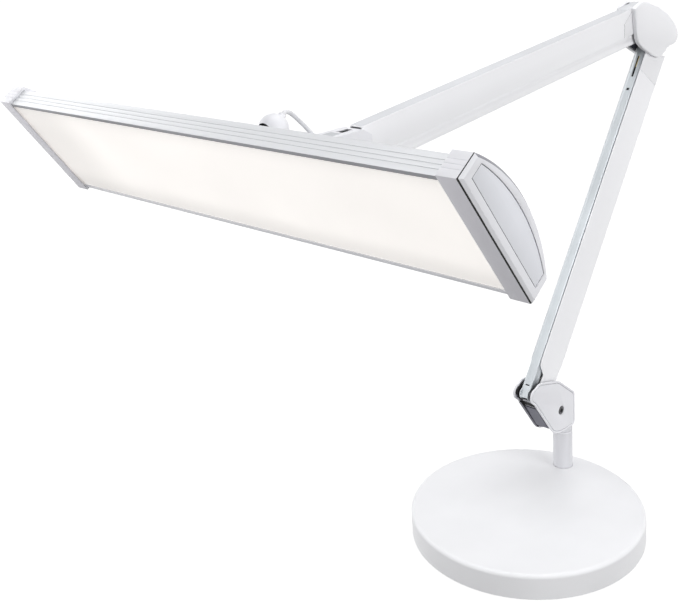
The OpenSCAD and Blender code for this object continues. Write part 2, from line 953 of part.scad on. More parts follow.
module knuckle_body() {
  color("white") difference() {
    union() {
      difference() {
        translate([post[0], post[1] + swivel[0], dome_z]) {
          cylinder(d = dome_d, h = dome_straight);
          translate([0, 0, dome_straight])
            sphere(d = dome_d, $fn = 64);
        }
        translate([post[0] - dome_d, post[1] + swivel[0] - dome_d, dome_z - dome_d])
          cube([2 * dome_d, 2 * dome_d, dome_d]);
        translate([post[0], post[1] + swivel[0] - 5, dome_mid - 2])
          rotate([90, 0, 0])
            cylinder(r = window_r, h = dome_d);
      }
      side(-neck_half, neck_half) {
        translate(tilt)
          circle(neck_r);
        limb(tilt, [16, 5])
          translate([0, -neck_r + 1])
            square([15, 2 * neck_r - 2]);
      }
    }
    bar(tilt, tilt_d + 2 * run_fit, -neck_half - eps, neck_half + eps);
    translate([post[0], post[1] + swivel[0], dome_z - eps])
      cylinder(d = swivel_d + 2 * fit, h = dome_straight - 2 + eps);
    lead_exit()
      translate([0, 0, dome_d / 2 - gland_h / 2 - seam])
        cylinder(d = gland_d + 2 * fit, h = dome_d);
    lead_exit()
      translate([0, 0, dome_d / 2 - 6])
        cylinder(d = lead_d + 2 * open_fit, h = dome_d);
  }
}

module swivel_pin() {
  color("silver") translate([post[0], post[1] + swivel[0], 0]) {
    translate([0, 0, tongue_z - room - 2])
      cylinder(d = 2 * swivel_d, h = 2);
    translate([0, 0, tongue_z - room - eps])
      cylinder(d = swivel_d, h = dome_z + dome_straight - 2 - seam - tongue_z + room + eps);
  }
}

module swivel_washer() {
  color("black") translate([post[0], post[1] + swivel[0], 0])
    ring(dome_d - 4, swivel_d + 2 * fit, tongue_z + tongue_t + room, dome_z);
}

// Screw channels of the housing.
module rib_places() {
  for (s = [-1, 1])
    translate([0, s * rib_y, rib_n])
      children();
}

module head_housing() {
  w = house_wall;
  color("whitesmoke") on_head() difference() {
    union() {
      difference() {
        arched(house_half, house_low, house_side, house_top, -house_end, house_end);
        translate([-house_end - eps, -house_half + w, 0])
          cube([2 * house_end + 2 * eps, 2 * house_half - 2 * w, house_side - w]);
        arched(house_half - w, house_side - w - eps, house_side - w / 4, house_top - w,
          -house_end - eps, house_end + eps);
      }
      for (s = [-1, 1])
        translate([-house_end, s * (house_half - (w + lip) / 2) - (w + lip) / 2, house_low])
          cube([2 * house_end, w + lip, lip_t]);
      rib_places()
        translate([-house_end, 0, 0])
          rotate([0, 90, 0])
            cylinder(d = rib_d, h = 2 * house_end);
      rib_places()
        translate([-house_end, -rib_web / 2, 0])
          cube([2 * house_end, rib_web, house_top - house_wall - rib_n - 5]);
    }
    rib_places()
      translate([-house_end - eps, 0, 0])
        rotate([0, 90, 0])
          cylinder(d = cap_screw_d, h = 2 * house_end + 2 * eps);
    for (i = [0 : groove_count - 1])
      translate([-house_end - eps, -house_half - eps, house_low + groove_first + groove_pitch * i])
        cube([2 * house_end + 2 * eps, eps + groove_deep, groove_w]);
    for (x = button_x)
      translate([x, 0, house_side])
        cylinder(d = button_d + 2 * open_fit, h = head_depth);
    for (s = [-1, 1])
      translate([s * (mount_half - 4), tilt_y, house_side + 2])
        cylinder(d = cap_screw_d + 2 * fit, h = head_depth);
  }
}

// Right-hand end cap.
module end_cap() {
  s = 0.1;
  difference() {
    union() {
      arched(head_w / 2, 0, side_h, head_depth, cap_x, half_len - cap_edge);
      hull() {
        arched(head_w / 2, 0, side_h, head_depth, half_len - cap_edge - eps, half_len - cap_edge);
        arched(head_w / 2 - cap_edge, cap_edge, side_h - cap_edge / 2, head_depth - cap_edge,
          half_len - cap_edge, half_len);
      }
    }
    arched(house_half + s, house_low - s, house_side + s, house_top + s, cap_x - eps, house_end + s);
    arched(head_w / 2 - panel_inset + panel_gap, panel_inset - panel_gap, side_h - 1,
      head_depth - panel_inset + panel_gap, half_len - panel_t, half_len + eps);
    for (i = [0 : groove_count - 1])
      translate([cap_x - eps, -head_w / 2 - eps, house_low + groove_first + groove_pitch * i])
        cube([cap_len - cap_edge, eps + groove_deep, groove_w]);
    rib_places()
      translate([house_end - eps, 0, 0])
        rotate([0, 90, 0])
          cylinder(d = cap_screw_d + 2 * fit, h = cap_len);
    rib_places()
      translate([half_len - panel_t - 2, 0, 0])
        rotate([0, 90, 0])
          cylinder(d = 2 * cap_screw_d + 2 * fit, h = 4);
  }
}

module end_cap_right() {
  color("whitesmoke") on_head() end_cap();
}

module end_cap_left() {
  color("whitesmoke") on_head() mirror([1, 0, 0]) end_cap();
}

// Inset panel of the right-hand end cap.
module cap_panel() {
  arched(head_w / 2 - panel_inset, panel_inset, side_h - 1 - panel_gap / 2, head_depth - panel_inset,
    half_len - panel_t + seam, half_len - 0.2);
}

module cap_panel_right() {
  color("gainsboro") on_head() cap_panel();
}

module cap_panel_left() {
  color("gainsboro") on_head() mirror([1, 0, 0]) cap_panel();
}

module cap_screws() {
  color("silver") on_head() for (m = [0, 1])
    mirror([m, 0, 0])
      rib_places() {
        translate([half_len - panel_t - 2 + seam, 0, 0])
          rotate([0, 90, 0])
            cylinder(d = 2 * cap_screw_d, h = 1.8);
        translate([house_end - 8, 0, 0])
          rotate([0, 90, 0])
            cylinder(d = cap_screw_d - 2 * fit, h = half_len - panel_t - 1 - house_end + 8);
      }
}

module diffuser() {
  color("white") on_head()
    translate([-house_end + seam, -pane_half, house_low + lip_t + seam])
      cube([2 * house_end - 2 * seam, 2 * pane_half, diffuser_t]);
}

module light_board() {
  color("silver") on_head()
    translate([-house_end + 6, -pane_half, board_n])
      cube([2 * house_end - 12, 2 * pane_half, board_t]);
}

module light_chips() {
  pitch = (2 * house_end - 2 * chip_margin) / (chip_count - 1);
  color("lemonchiffon") on_head()
    for (i = [0 : chip_count - 1], row = [-1, 1])
      translate([-house_end + chip_margin + i * pitch, row * pane_half / 2, board_n - chip_h])
        translate([-chip / 2, -chip / 2, 0])
          cube([chip, chip, chip_h]);
}

module driver_box() {
  color("white") on_head()
    translate([-driver_len / 2, -driver_w / 2, board_n + board_t])
      cube([driver_len, driver_w, house_side - board_n + 3]);
}

module head_mount() {
  r_rise = house_top - house_side;
  r = (house_half * house_half + r_rise * r_rise) / (2 * r_rise);
  color("white") on_head() difference() {
    union() {
      translate([-mount_half, tilt_y - 10, house_top - 3])
        cube([2 * mount_half, 20, 3 + mount_t]);
      for (s = [-1, 1])
        translate([s * (lug_in + lug_t / 2) - lug_t / 2, 0, 0]) {
          translate([0, tilt_y - lug_r, house_top])
            cube([lug_t, 2 * lug_r, tilt_n - house_top]);
          translate([0, tilt_y, tilt_n])
            rotate([0, 90, 0])
              cylinder(r = lug_r, h = lug_t);
        }
    }
    translate([-mount_half - eps, 0, house_top - r])
      rotate([0, 90, 0])
        cylinder(r = r + fit, h = 2 * mount_half + 2 * eps, $fn = 180);
    translate([-mount_half, tilt_y, tilt_n])
      rotate([0, 90, 0])
        cylinder(d = tilt_d + 2 * fit, h = 2 * mount_half);
    for (s = [-1, 1])
      translate([s * (mount_half - 4), tilt_y, house_side])
        cylinder(d = cap_screw_d + 2 * fit, h = head_depth);
  }
}

module mount_screws() {
  color("silver") on_head() for (s = [-1, 1])
    translate([s * (mount_half - 4), tilt_y, 0]) {
      translate([0, 0, house_side + 8])
        cylinder(d = cap_screw_d, h = house_top + mount_t - house_side - 8 + eps);
      translate([0, 0, house_top + mount_t + seam])
        cylinder(d = 2 * cap_screw_d, h = 1.8);
    }
}

module tilt_pin() {
  color("silver") bar(tilt, tilt_d, -lug_in - lug_t, lug_in + lug_t);
}

// Places children at the dome's middle, with z along the lead's way out.
module lead_exit() {
  translate([post[0], post[1] + swivel[0], dome_mid])
    rotate([gland_rise - 90, 0, 0])
      children();
}

module lead_gland() {
  color("white") lead_exit()
    ring(gland_d, lead_d + 3 * open_fit, dome_d / 2 - gland_h / 2, dome_d / 2 + gland_h);
}

// A round tube swept along stations, closed at both ends.
module tube(pts, d, sides) {
  n = len(pts);
  dirs = [for (i = [0 : n - 1]) let (v = pts[min(i + 1, n - 1)] - pts[max(i - 1, 0)]) v / norm(v)];
  rings = [for (i = [0 : n - 1])
    let (e = cross(dirs[i], [0.3, 0.1, 1]), a = e / norm(e), b = cross(dirs[i], a))
    for (k = [0 : sides - 1]) pts[i] + d / 2 * (cos(360 * k / sides) * a + sin(360 * k / sides) * b)];
  walls = [for (i = [0 : n - 2], k = [0 : sides - 1]) let (m = (k + 1) % sides)
    [i * sides + k, i * sides + m, (i + 1) * sides + m, (i + 1) * sides + k]];
  first = [for (k = [sides - 1 : -1 : 0]) k];
  last = [for (k = [0 : sides - 1]) (n - 1) * sides + k];
  polyhedron(points = rings, faces = concat(walls, [first], [last]), convexity = 6);
}

module head_lead() {
  color("white") translate([post[0], post[1], 0])
    tube(lead_pts, lead_d, lead_sides);
}

// A push button with a keeping flange under the housing's skin.
module button(x) {
  on_head() translate([x, 0, 0]) {
    translate([0, 0, house_top - house_wall - 4])
      cylinder(d = button_d, h = house_wall + 6);
    translate([0, 0, house_top - house_wall - 4])
      cylinder(d = button_d + 3, h = 2);
  }
}

module power_button() {
  color("gainsboro") button(button_x[1]);
}

module dimmer_button() {
  color("gainsboro") button(button_x[0]);
}

base_cover();
base_weight();
base_pad();
base_screws();
post_sleeve();
sleeve_nut();
sleeve_bush();
swivel_spigot();
bracket_frame();
bracket_cover_right();
bracket_cover_left();
clamp_screw();
clamp_nut();
arm_pivot_pin();
link_pivot_pin();
bracket_washers();
lower_arm_channel();
lower_arm_cap();
lower_spring();
lower_hook_pin();
lower_link_channel();
elbow_frame();
elbow_cover_right();
elbow_cover_left();
elbow_screws();
elbow_pins();
elbow_washers();
upper_arm_channel();
upper_arm_cap();
upper_spring();
upper_hook_pin();
upper_link_channel();
head_bracket();
arm_end_cover();
head_bracket_pins();
head_bracket_washers();
knuckle_body();
swivel_pin();
swivel_washer();
head_housing();
end_cap_right();
end_cap_left();
cap_panel_right();
cap_panel_left();
cap_screws();
diffuser();
light_board();
light_chips();
driver_box();
head_mount();
mount_screws();
tilt_pin();
lead_gland();
head_lead();
power_button();
dimmer_button();
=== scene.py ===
"""LED task lamp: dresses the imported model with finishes, soft edges, springs and a lead, in a plain studio.

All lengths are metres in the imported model's frame: the origin is the middle of the base's underside, +Z is up
and the head reaches to -Y.
"""

import json
import logging
import math
from collections.abc import Callable
from dataclasses import dataclass
from enum import Enum

import bmesh
import bpy
from mathutils import Matrix, Vector


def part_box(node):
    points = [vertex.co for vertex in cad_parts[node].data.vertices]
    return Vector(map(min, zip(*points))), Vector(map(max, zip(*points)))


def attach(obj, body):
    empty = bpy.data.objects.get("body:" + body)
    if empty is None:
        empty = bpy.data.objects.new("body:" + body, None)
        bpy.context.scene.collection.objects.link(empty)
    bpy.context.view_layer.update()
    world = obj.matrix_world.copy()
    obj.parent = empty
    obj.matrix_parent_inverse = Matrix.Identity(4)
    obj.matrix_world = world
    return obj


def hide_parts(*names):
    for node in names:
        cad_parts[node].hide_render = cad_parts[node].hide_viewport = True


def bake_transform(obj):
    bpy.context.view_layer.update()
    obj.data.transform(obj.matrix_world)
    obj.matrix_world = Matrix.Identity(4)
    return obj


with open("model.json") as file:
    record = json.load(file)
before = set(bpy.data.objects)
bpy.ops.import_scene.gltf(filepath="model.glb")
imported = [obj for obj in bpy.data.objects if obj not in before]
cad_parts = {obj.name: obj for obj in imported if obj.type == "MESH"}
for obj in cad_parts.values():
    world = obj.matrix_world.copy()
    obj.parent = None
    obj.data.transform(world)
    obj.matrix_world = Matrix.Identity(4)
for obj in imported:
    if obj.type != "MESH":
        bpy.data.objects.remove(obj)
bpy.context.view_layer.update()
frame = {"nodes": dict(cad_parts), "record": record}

LOG = logging.getLogger("task_lamp")
MM = 0.001


class Surface(Enum):
    """Families of surfaces that share one node layout."""

    ENAMEL = "enamel"
    MOULDED = "moulded"
    DRAWN = "drawn"
    TURNED = "turned"
    RUBBER = "rubber"
    OPAL = "opal"
    FLOOR = "floor"


@dataclass(frozen=True)
class Finish:
    """One finish of the lamp.

    Attributes:
        name: Name of the material.
        surface: Family of the surface.
        colour: sRGB colour from 0 to 1.
        rough: Mean roughness.
        metal: Metalness.
        shine: Strength of the mirror part, 0.5 for common plastics and paints.
        vary: Share by which the colour drifts over the surface.
        grain: Size of the fine grain in metres.
        relief: Height of the grain in metres.
        glow: Strength of the light that the surface gives.
    """

    name: str
    surface: Surface
    colour: tuple[float, float, float]
    rough: float = 0.4
    metal: float = 0.0
    shine: float = 0.5
    vary: float = 0.02
    grain: float = 0.0009
    relief: float = 0.00002
    glow: float = 0.0


class Finishes:
    """All finishes of the lamp, named after the record's material slots where they have one."""

    ENAMEL = Finish(
        "white_enamel", Surface.ENAMEL, (0.955, 0.955, 0.962),
        rough=0.36, shine=0.15, vary=0.01, grain=0.0012, relief=0.00003,
    )
    POST = Finish("post_enamel", Surface.ENAMEL, (0.845, 0.845, 0.86), rough=0.4, vary=0.01)
    # Light grey: a painted highlight on the bracket frame's upper edge and on its lip plate; also the grey of
    # the head's rear lip.
    LIP = Finish("edge_light", Surface.ENAMEL, (0.9, 0.9, 0.92), rough=0.35, vary=0.01)
    ARM = Finish(
        "arm_enamel", Surface.ENAMEL, (0.985, 0.985, 0.995),
        rough=0.34, shine=1.0, vary=0.005, grain=0.0014, relief=0.00003,
    )
    # Greyer copy of the arm enamel: painted shade on the upper arm's faces that look up.
    ARM_TOP_SHADE = Finish(
        "arm_top_painted_shade", Surface.ENAMEL, (0.86, 0.865, 0.88),
        rough=0.4, grain=0.0014, relief=0.00003,
    )
    PLASTIC = Finish(
        "white_plastic", Surface.MOULDED, (0.925, 0.925, 0.94),
        rough=0.42, vary=0.01, grain=0.0005, relief=0.000015,
    )
    COVER = Finish(
        "cover_plastic", Surface.MOULDED, (0.985, 0.985, 0.995),
        rough=0.4, shine=0.8, vary=0.005, grain=0.0005,
    )
    STEEL = Finish("bare_steel", Surface.DRAWN, (0.74, 0.75, 0.77), rough=0.36, metal=1.0, vary=0.06)
    PIN = Finish("pin_steel", Surface.TURNED, (0.76, 0.77, 0.78), rough=0.3, metal=1.0, vary=0.05)
    SCREW = Finish("screw_steel", Surface.TURNED, (0.36, 0.36, 0.37), rough=0.28, metal=1.0, vary=0.1)
    RUBBER = Finish("dark_rubber", Surface.RUBBER, (0.16, 0.16, 0.17), rough=0.75, vary=0.1)
    DARK = Finish("dark_frame", Surface.ENAMEL, (0.36, 0.36, 0.41), rough=0.42, vary=0.08)
    # Black painted shade: goes on recesses, slots, the inside of the bracket and the dome's window, and on dark
    # lines along the end caps' edges, where shade falls.
    PAINTED_SHADE = Finish("painted_shade_black", Surface.RUBBER, (0.035, 0.035, 0.04), rough=0.85, vary=0.1)
    ZINC = Finish("link_zinc", Surface.DRAWN, (0.78, 0.8, 0.815), rough=0.46, metal=0.55, vary=0.05)
    SILVER = Finish("head_silver", Surface.DRAWN, (0.855, 0.86, 0.87), rough=0.42, metal=0.2, vary=0.03)
    # Darker grey of the head's front lip under the diffuser.
    FRONT_LIP_GREY = Finish("front_lip_grey", Surface.RUBBER, (0.66, 0.66, 0.68), rough=0.6, vary=0.06)
    SEAM = Finish("seam_shade", Surface.RUBBER, (0.3, 0.3, 0.32), rough=0.7, vary=0.05)
    GROOVE = Finish("groove_shade", Surface.MOULDED, (0.7, 0.7, 0.72), rough=0.6, vary=0.02)
    CAP = Finish(
        "cap_plastic", Surface.MOULDED, (0.93, 0.93, 0.945),
        rough=0.4, grain=0.0005, relief=0.00002,
    )
    # Grey copy of the cap plastic: painted shade on the chamfer above the caps' backs.
    CAP_CHAMFER_SHADE = Finish(
        "cap_edge", Surface.MOULDED, (0.5, 0.5, 0.53),
        rough=0.34, grain=0.0005, relief=0.00002,
    )
    # Darker copy of the cap plastic: painted shade on the caps' undersides.
    CAP_UNDER_SHADE = Finish(
        "cap_under_painted_shade", Surface.MOULDED, (0.9, 0.895, 0.92),
        rough=0.45, grain=0.0005, relief=0.00002,
    )
    PANEL = Finish(
        "panel_plastic", Surface.MOULDED, (0.9, 0.905, 0.925),
        rough=0.5, grain=0.0007, relief=0.00004,
    )
    OPAL = Finish("diffuser_acrylic", Surface.OPAL, (0.98, 0.965, 0.95), rough=0.5, glow=0.45)
    BOARD = Finish("board_aluminium", Surface.DRAWN, (0.85, 0.85, 0.86), rough=0.4, metal=1.0)
    CHIP = Finish("chip_phosphor", Surface.OPAL, (1.0, 0.93, 0.7), rough=0.5, glow=1.5)
    LEAD = Finish("lead_jacket", Surface.RUBBER, (0.9, 0.9, 0.91), rough=0.45, vary=0.03)
    BUTTON = Finish("button_plastic", Surface.MOULDED, (0.87, 0.87, 0.88), rough=0.45)
    WIRE = Finish("wire_jacket", Surface.RUBBER, (0.9, 0.82, 0.6), rough=0.45, vary=0.04)
    FLOOR = Finish("studio_floor", Surface.FLOOR, (0.38, 0.38, 0.38), rough=0.8)


@dataclass(frozen=True)
class Fade:
    """How a lit surface's glow falls off along one side of its box.

    Attributes:
        axis: Axis of the box.
        centre: Brightest place, from 0 to 1.
        depth: Share that is lost at the dim end.
        start: Distance from the brightest place at which the loss starts.
    """

    axis: str
    centre: float
    depth: float
    start: float


@dataclass(frozen=True)
class Lamp:
    """Soft square lamp of the studio.

    Attributes:
        name: Name of the lamp.
        at: Its place.
        aim: Point that it faces.
        size: Edge length.
        watts: Power.
    """

    name: str
    at: tuple[float, float, float]
    aim: tuple[float, float, float]
    size: float
    watts: float


Paint = Callable[[Vector, Vector], Finish | None]


@dataclass(frozen=True)
class Trim:
    """Narrow flat cut along chosen edges of a piece.

    Attributes:
        width: How far the cut reaches into each of the two faces.
        picks: Tells whether an edge between two faces is cut.
    """

    width: float
    picks: Callable[[bmesh.types.BMEdge], bool]


def linear(colour: tuple[float, float, float]) -> tuple[float, float, float, float]:
    """Turns an sRGB colour into a linear one.

    Args:
        colour: Red, green and blue from 0 to 1.

    Returns:
        The linear colour with full alpha.
    """
    parts = [c / 12.92 if c <= 0.04045 else ((c + 0.055) / 1.055) ** 2.4 for c in colour]
    return (parts[0], parts[1], parts[2], 1.0)


def joint(name: str) -> dict:
    """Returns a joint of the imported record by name."""
    return next(j for j in frame["record"]["behaviour"]["joints"] if j["name"] == name)


def place(name: str) -> Vector:
    """Returns the place of a joint."""
    return Vector(joint(name)["pos_m"])


def middle(node: str) -> Vector:
    """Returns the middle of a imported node's box."""
    low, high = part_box(node)
    return (Vector(low) + Vector(high)) / 2


def smooth_route(points: list[Vector], steps: int) -> list[Vector]:
    """Runs a smooth line through stations.

    Args:
        points: The stations.
        steps: Points from one station to the next.

    Returns:
        The points of a Catmull-Rom line through all stations.
    """
    ends = [2 * points[0] - points[1], *points, 2 * points[-1] - points[-2]]
    line = []
    for a, b, c, d in zip(ends, ends[1:], ends[2:], ends[3:]):
        for k in range(steps):
            t = k / steps
            square = (2 * a - 5 * b + 4 * c - d) * t**2
            cube = (3 * b - a - 3 * c + d) * t**3
            line.append(0.5 * (2 * b + (c - a) * t + square + cube))
    return [*line, points[-1]]


def sweep(name: str, line: list[Vector], radius: float, sides: int = 10) -> bpy.types.Object:
    """Sweeps a round section along a line and closes both ends.

    Args:
        name: Name of the new object.
        line: Points of the middle line.
        radius: Radius of the section.
        sides: Corners of the section.

    Returns:
        The tube, linked to the scene.
    """
    work = bmesh.new()
    side = (line[1] - line[0]).orthogonal().normalized()
    last = None
    for i, point in enumerate(line):
        along = (line[min(i + 1, len(line) - 1)] - line[max(i - 1, 0)]).normalized()
        side = (side - side.dot(along) * along).normalized()
        over = along.cross(side)
        turns = [2 * math.pi * k / sides for k in range(sides)]
        ring = [work.verts.new(point + radius * (math.cos(a) * side + math.sin(a) * over)) for a in turns]
        if last is None:
            work.faces.new(ring[::-1])
        else:
            for k in range(sides):
                work.faces.new((last[k], last[(k + 1) % sides], ring[(k + 1) % sides], ring[k]))
        last = ring
    work.faces.new(last)
    for face in work.faces:
        face.smooth = len(face.verts) == 4
    return to_object(name, work)


def to_object(name: str, work: bmesh.types.BMesh) -> bpy.types.Object:
    """Turns a working mesh into an object of the scene and frees it.

    Args:
        name: Name of the new object.
        work: The working mesh.

    Returns:
        The new object, linked to the scene.
    """
    mesh = bpy.data.meshes.new(name)
    work.to_mesh(mesh)
    work.free()
    made = bpy.data.objects.new(name, mesh)
    bpy.context.scene.collection.objects.link(made)
    return made


def plate(name: str, size: tuple[float, float, float], at: Vector, along: Vector) -> bpy.types.Object:
    """Makes a thin plate that lies across the lamp.

    Args:
        name: Name of the new object.
        size: Width across the lamp, length and thickness.
        at: Its middle.
        along: Direction of its length, square to the width.

    Returns:
        The plate, linked to the scene.
    """
    across = Vector((1, 0, 0))
    work = bmesh.new()
    bmesh.ops.create_cube(work, size=1.0, matrix=Matrix.Diagonal((*size, 1.0)))
    turn = Matrix((across, along, across.cross(along))).transposed().to_4x4()
    work.transform(Matrix.Translation(at) @ turn)
    return to_object(name, work)


class MaterialMaker:
    """Builds each finish's node material once."""

    CLOUD_SCALE = 14.0
    DRAWN_SCALE = (0.06, 1.0, 1.0)
    GLOSS_SPAN = 0.06
    COAT_ROUGH = 0.22
    COAT_SHARE = 0.24
    FADES = (Fade("X", 0.58, 0.32, 0.36), Fade("Y", 0.44, 0.32, 0.28))

    def __init__(self) -> None:
        """Starts with no material made."""
        self._made: dict[str, bpy.types.Material] = {}

    def get(self, finish: Finish) -> bpy.types.Material:
        """Returns the material of a finish.

        Args:
            finish: The finish to build.

        Returns:
            The node material, made on the first call.
        """
        if finish.name not in self._made:
            self._made[finish.name] = self._build(finish)
        return self._made[finish.name]

    def _build(self, finish: Finish) -> bpy.types.Material:
        """Builds the nodes of one finish.

        Args:
            finish: The finish to build.

        Returns:
            The new node material.
        """
        material = bpy.data.materials.new(finish.name)
        material.use_nodes = True
        tree = material.node_tree
        shader = tree.nodes["Principled BSDF"]
        shader.inputs["Metallic"].default_value = finish.metal
        shader.inputs["Specular IOR Level"].default_value = finish.shine
        coords = tree.nodes.new("ShaderNodeTexCoord")
        mapping = tree.nodes.new("ShaderNodeMapping")
        tree.links.new(coords.outputs["Object"], mapping.inputs["Vector"])
        if finish.surface is Surface.DRAWN:
            mapping.inputs["Scale"].default_value = self.DRAWN_SCALE
        cloud = self._noise(tree, mapping, self.CLOUD_SCALE, 4.0)
        fine = self._noise(tree, mapping, 1.0 / finish.grain, 3.0)
        self._colour(tree, shader, finish, cloud)
        self._gloss(tree, shader, finish, fine)
        self._relief(tree, shader, finish, fine)
        if finish.glow:
            self._glow(tree, shader, finish, coords)
        if finish.surface is Surface.ENAMEL:
            shader.inputs["Coat Weight"].default_value = self.COAT_SHARE * finish.shine
            shader.inputs["Coat Roughness"].default_value = self.COAT_ROUGH
        return material

    @staticmethod
    def _noise(
        tree: bpy.types.NodeTree, mapping: bpy.types.Node, scale: float, detail: float
    ) -> bpy.types.Node:
        """Adds a noise texture that reads the mapped object coordinates.

        Args:
            tree: Nodes of the material.
            mapping: Node that gives the coordinates.
            scale: Waves per metre.
            detail: Finer layers of the noise.

        Returns:
            The noise node.
        """
        node = tree.nodes.new("ShaderNodeTexNoise")
        node.inputs["Scale"].default_value = scale
        node.inputs["Detail"].default_value = detail
        tree.links.new(mapping.outputs["Vector"], node.inputs["Vector"])
        return node

    @staticmethod
    def _colour(
        tree: bpy.types.NodeTree, shader: bpy.types.Node, finish: Finish, cloud: bpy.types.Node
    ) -> None:
        """Lets the colour drift softly around its mean.

        Args:
            tree: Nodes of the material.
            shader: Its shader.
            finish: Finish that gives the colour and the drift.
            cloud: Wide noise.
        """
        ramp = tree.nodes.new("ShaderNodeValToRGB")
        low = tuple(max(0.0, c * (1 - finish.vary)) for c in finish.colour)
        high = tuple(min(1.0, c * (1 + finish.vary)) for c in finish.colour)
        ramp.color_ramp.elements[0].position = 0.3
        ramp.color_ramp.elements[0].color = linear(low)
        ramp.color_ramp.elements[1].position = 0.7
        ramp.color_ramp.elements[1].color = linear(high)
        tree.links.new(cloud.outputs["Fac"], ramp.inputs["Fac"])
        tree.links.new(ramp.outputs["Color"], shader.inputs["Base Color"])

    def _gloss(
        self, tree: bpy.types.NodeTree, shader: bpy.types.Node, finish: Finish, fine: bpy.types.Node
    ) -> None:
        """Breaks the gloss up with the grain.

        Args:
            tree: Nodes of the material.
            shader: Its shader.
            finish: Finish that gives the roughness.
            fine: Noise of the grain.
        """
        span = tree.nodes.new("ShaderNodeMapRange")
        span.inputs["To Min"].default_value = max(0.05, finish.rough - self.GLOSS_SPAN)
        span.inputs["To Max"].default_value = min(1.0, finish.rough + self.GLOSS_SPAN)
        tree.links.new(fine.outputs["Fac"], span.inputs["Value"])
        tree.links.new(span.outputs["Result"], shader.inputs["Roughness"])

    @staticmethod
    def _relief(
        tree: bpy.types.NodeTree, shader: bpy.types.Node, finish: Finish, fine: bpy.types.Node
    ) -> None:
        """Adds the grain's height.

        Args:
            tree: Nodes of the material.
            shader: Its shader.
            finish: Finish that gives the height.
            fine: Noise of the grain.
        """
        bump = tree.nodes.new("ShaderNodeBump")
        bump.inputs["Strength"].default_value = 0.5
        bump.inputs["Distance"].default_value = finish.relief
        tree.links.new(fine.outputs["Fac"], bump.inputs["Height"])
        tree.links.new(bump.outputs["Normal"], shader.inputs["Normal"])

    def _glow(
        self, tree: bpy.types.NodeTree, shader: bpy.types.Node, finish: Finish, coords: bpy.types.Node
    ) -> None:
        """Lets a lit surface glow a little less towards its ends and edges.

        Args:
            tree: Nodes of the material.
            shader: Its shader.
            finish: Finish that gives the colour and the strength.
            coords: Node that gives the coordinates.
        """
        shader.inputs["Emission Color"].default_value = linear(finish.colour)
        split = tree.nodes.new("ShaderNodeSeparateXYZ")
        tree.links.new(coords.outputs["Generated"], split.inputs["Vector"])
        strength = None
        for fade in self.FADES:
            off = tree.nodes.new("ShaderNodeMath")
            off.operation = "SUBTRACT"
            off.inputs[1].default_value = fade.centre
            tree.links.new(split.outputs[fade.axis], off.inputs[0])
            away = tree.nodes.new("ShaderNodeMath")
            away.operation = "ABSOLUTE"
            tree.links.new(off.outputs[0], away.inputs[0])
            dim = tree.nodes.new("ShaderNodeMapRange")
            dim.interpolation_type = "SMOOTHSTEP"
            dim.inputs["From Min"].default_value = fade.start
            dim.inputs["From Max"].default_value = 0.5
            dim.inputs["To Min"].default_value = 1.0
            dim.inputs["To Max"].default_value = 1.0 - fade.depth
            tree.links.new(away.outputs[0], dim.inputs["Value"])
            times = tree.nodes.new("ShaderNodeMath")
            times.operation = "MULTIPLY"
            times.inputs[1].default_value = finish.glow
            if strength is not None:
                tree.links.new(strength, times.inputs[1])
            tree.links.new(dim.outputs["Result"], times.inputs[0])
            strength = times.outputs[0]
        tree.links.new(strength, shader.inputs["Emission Strength"])


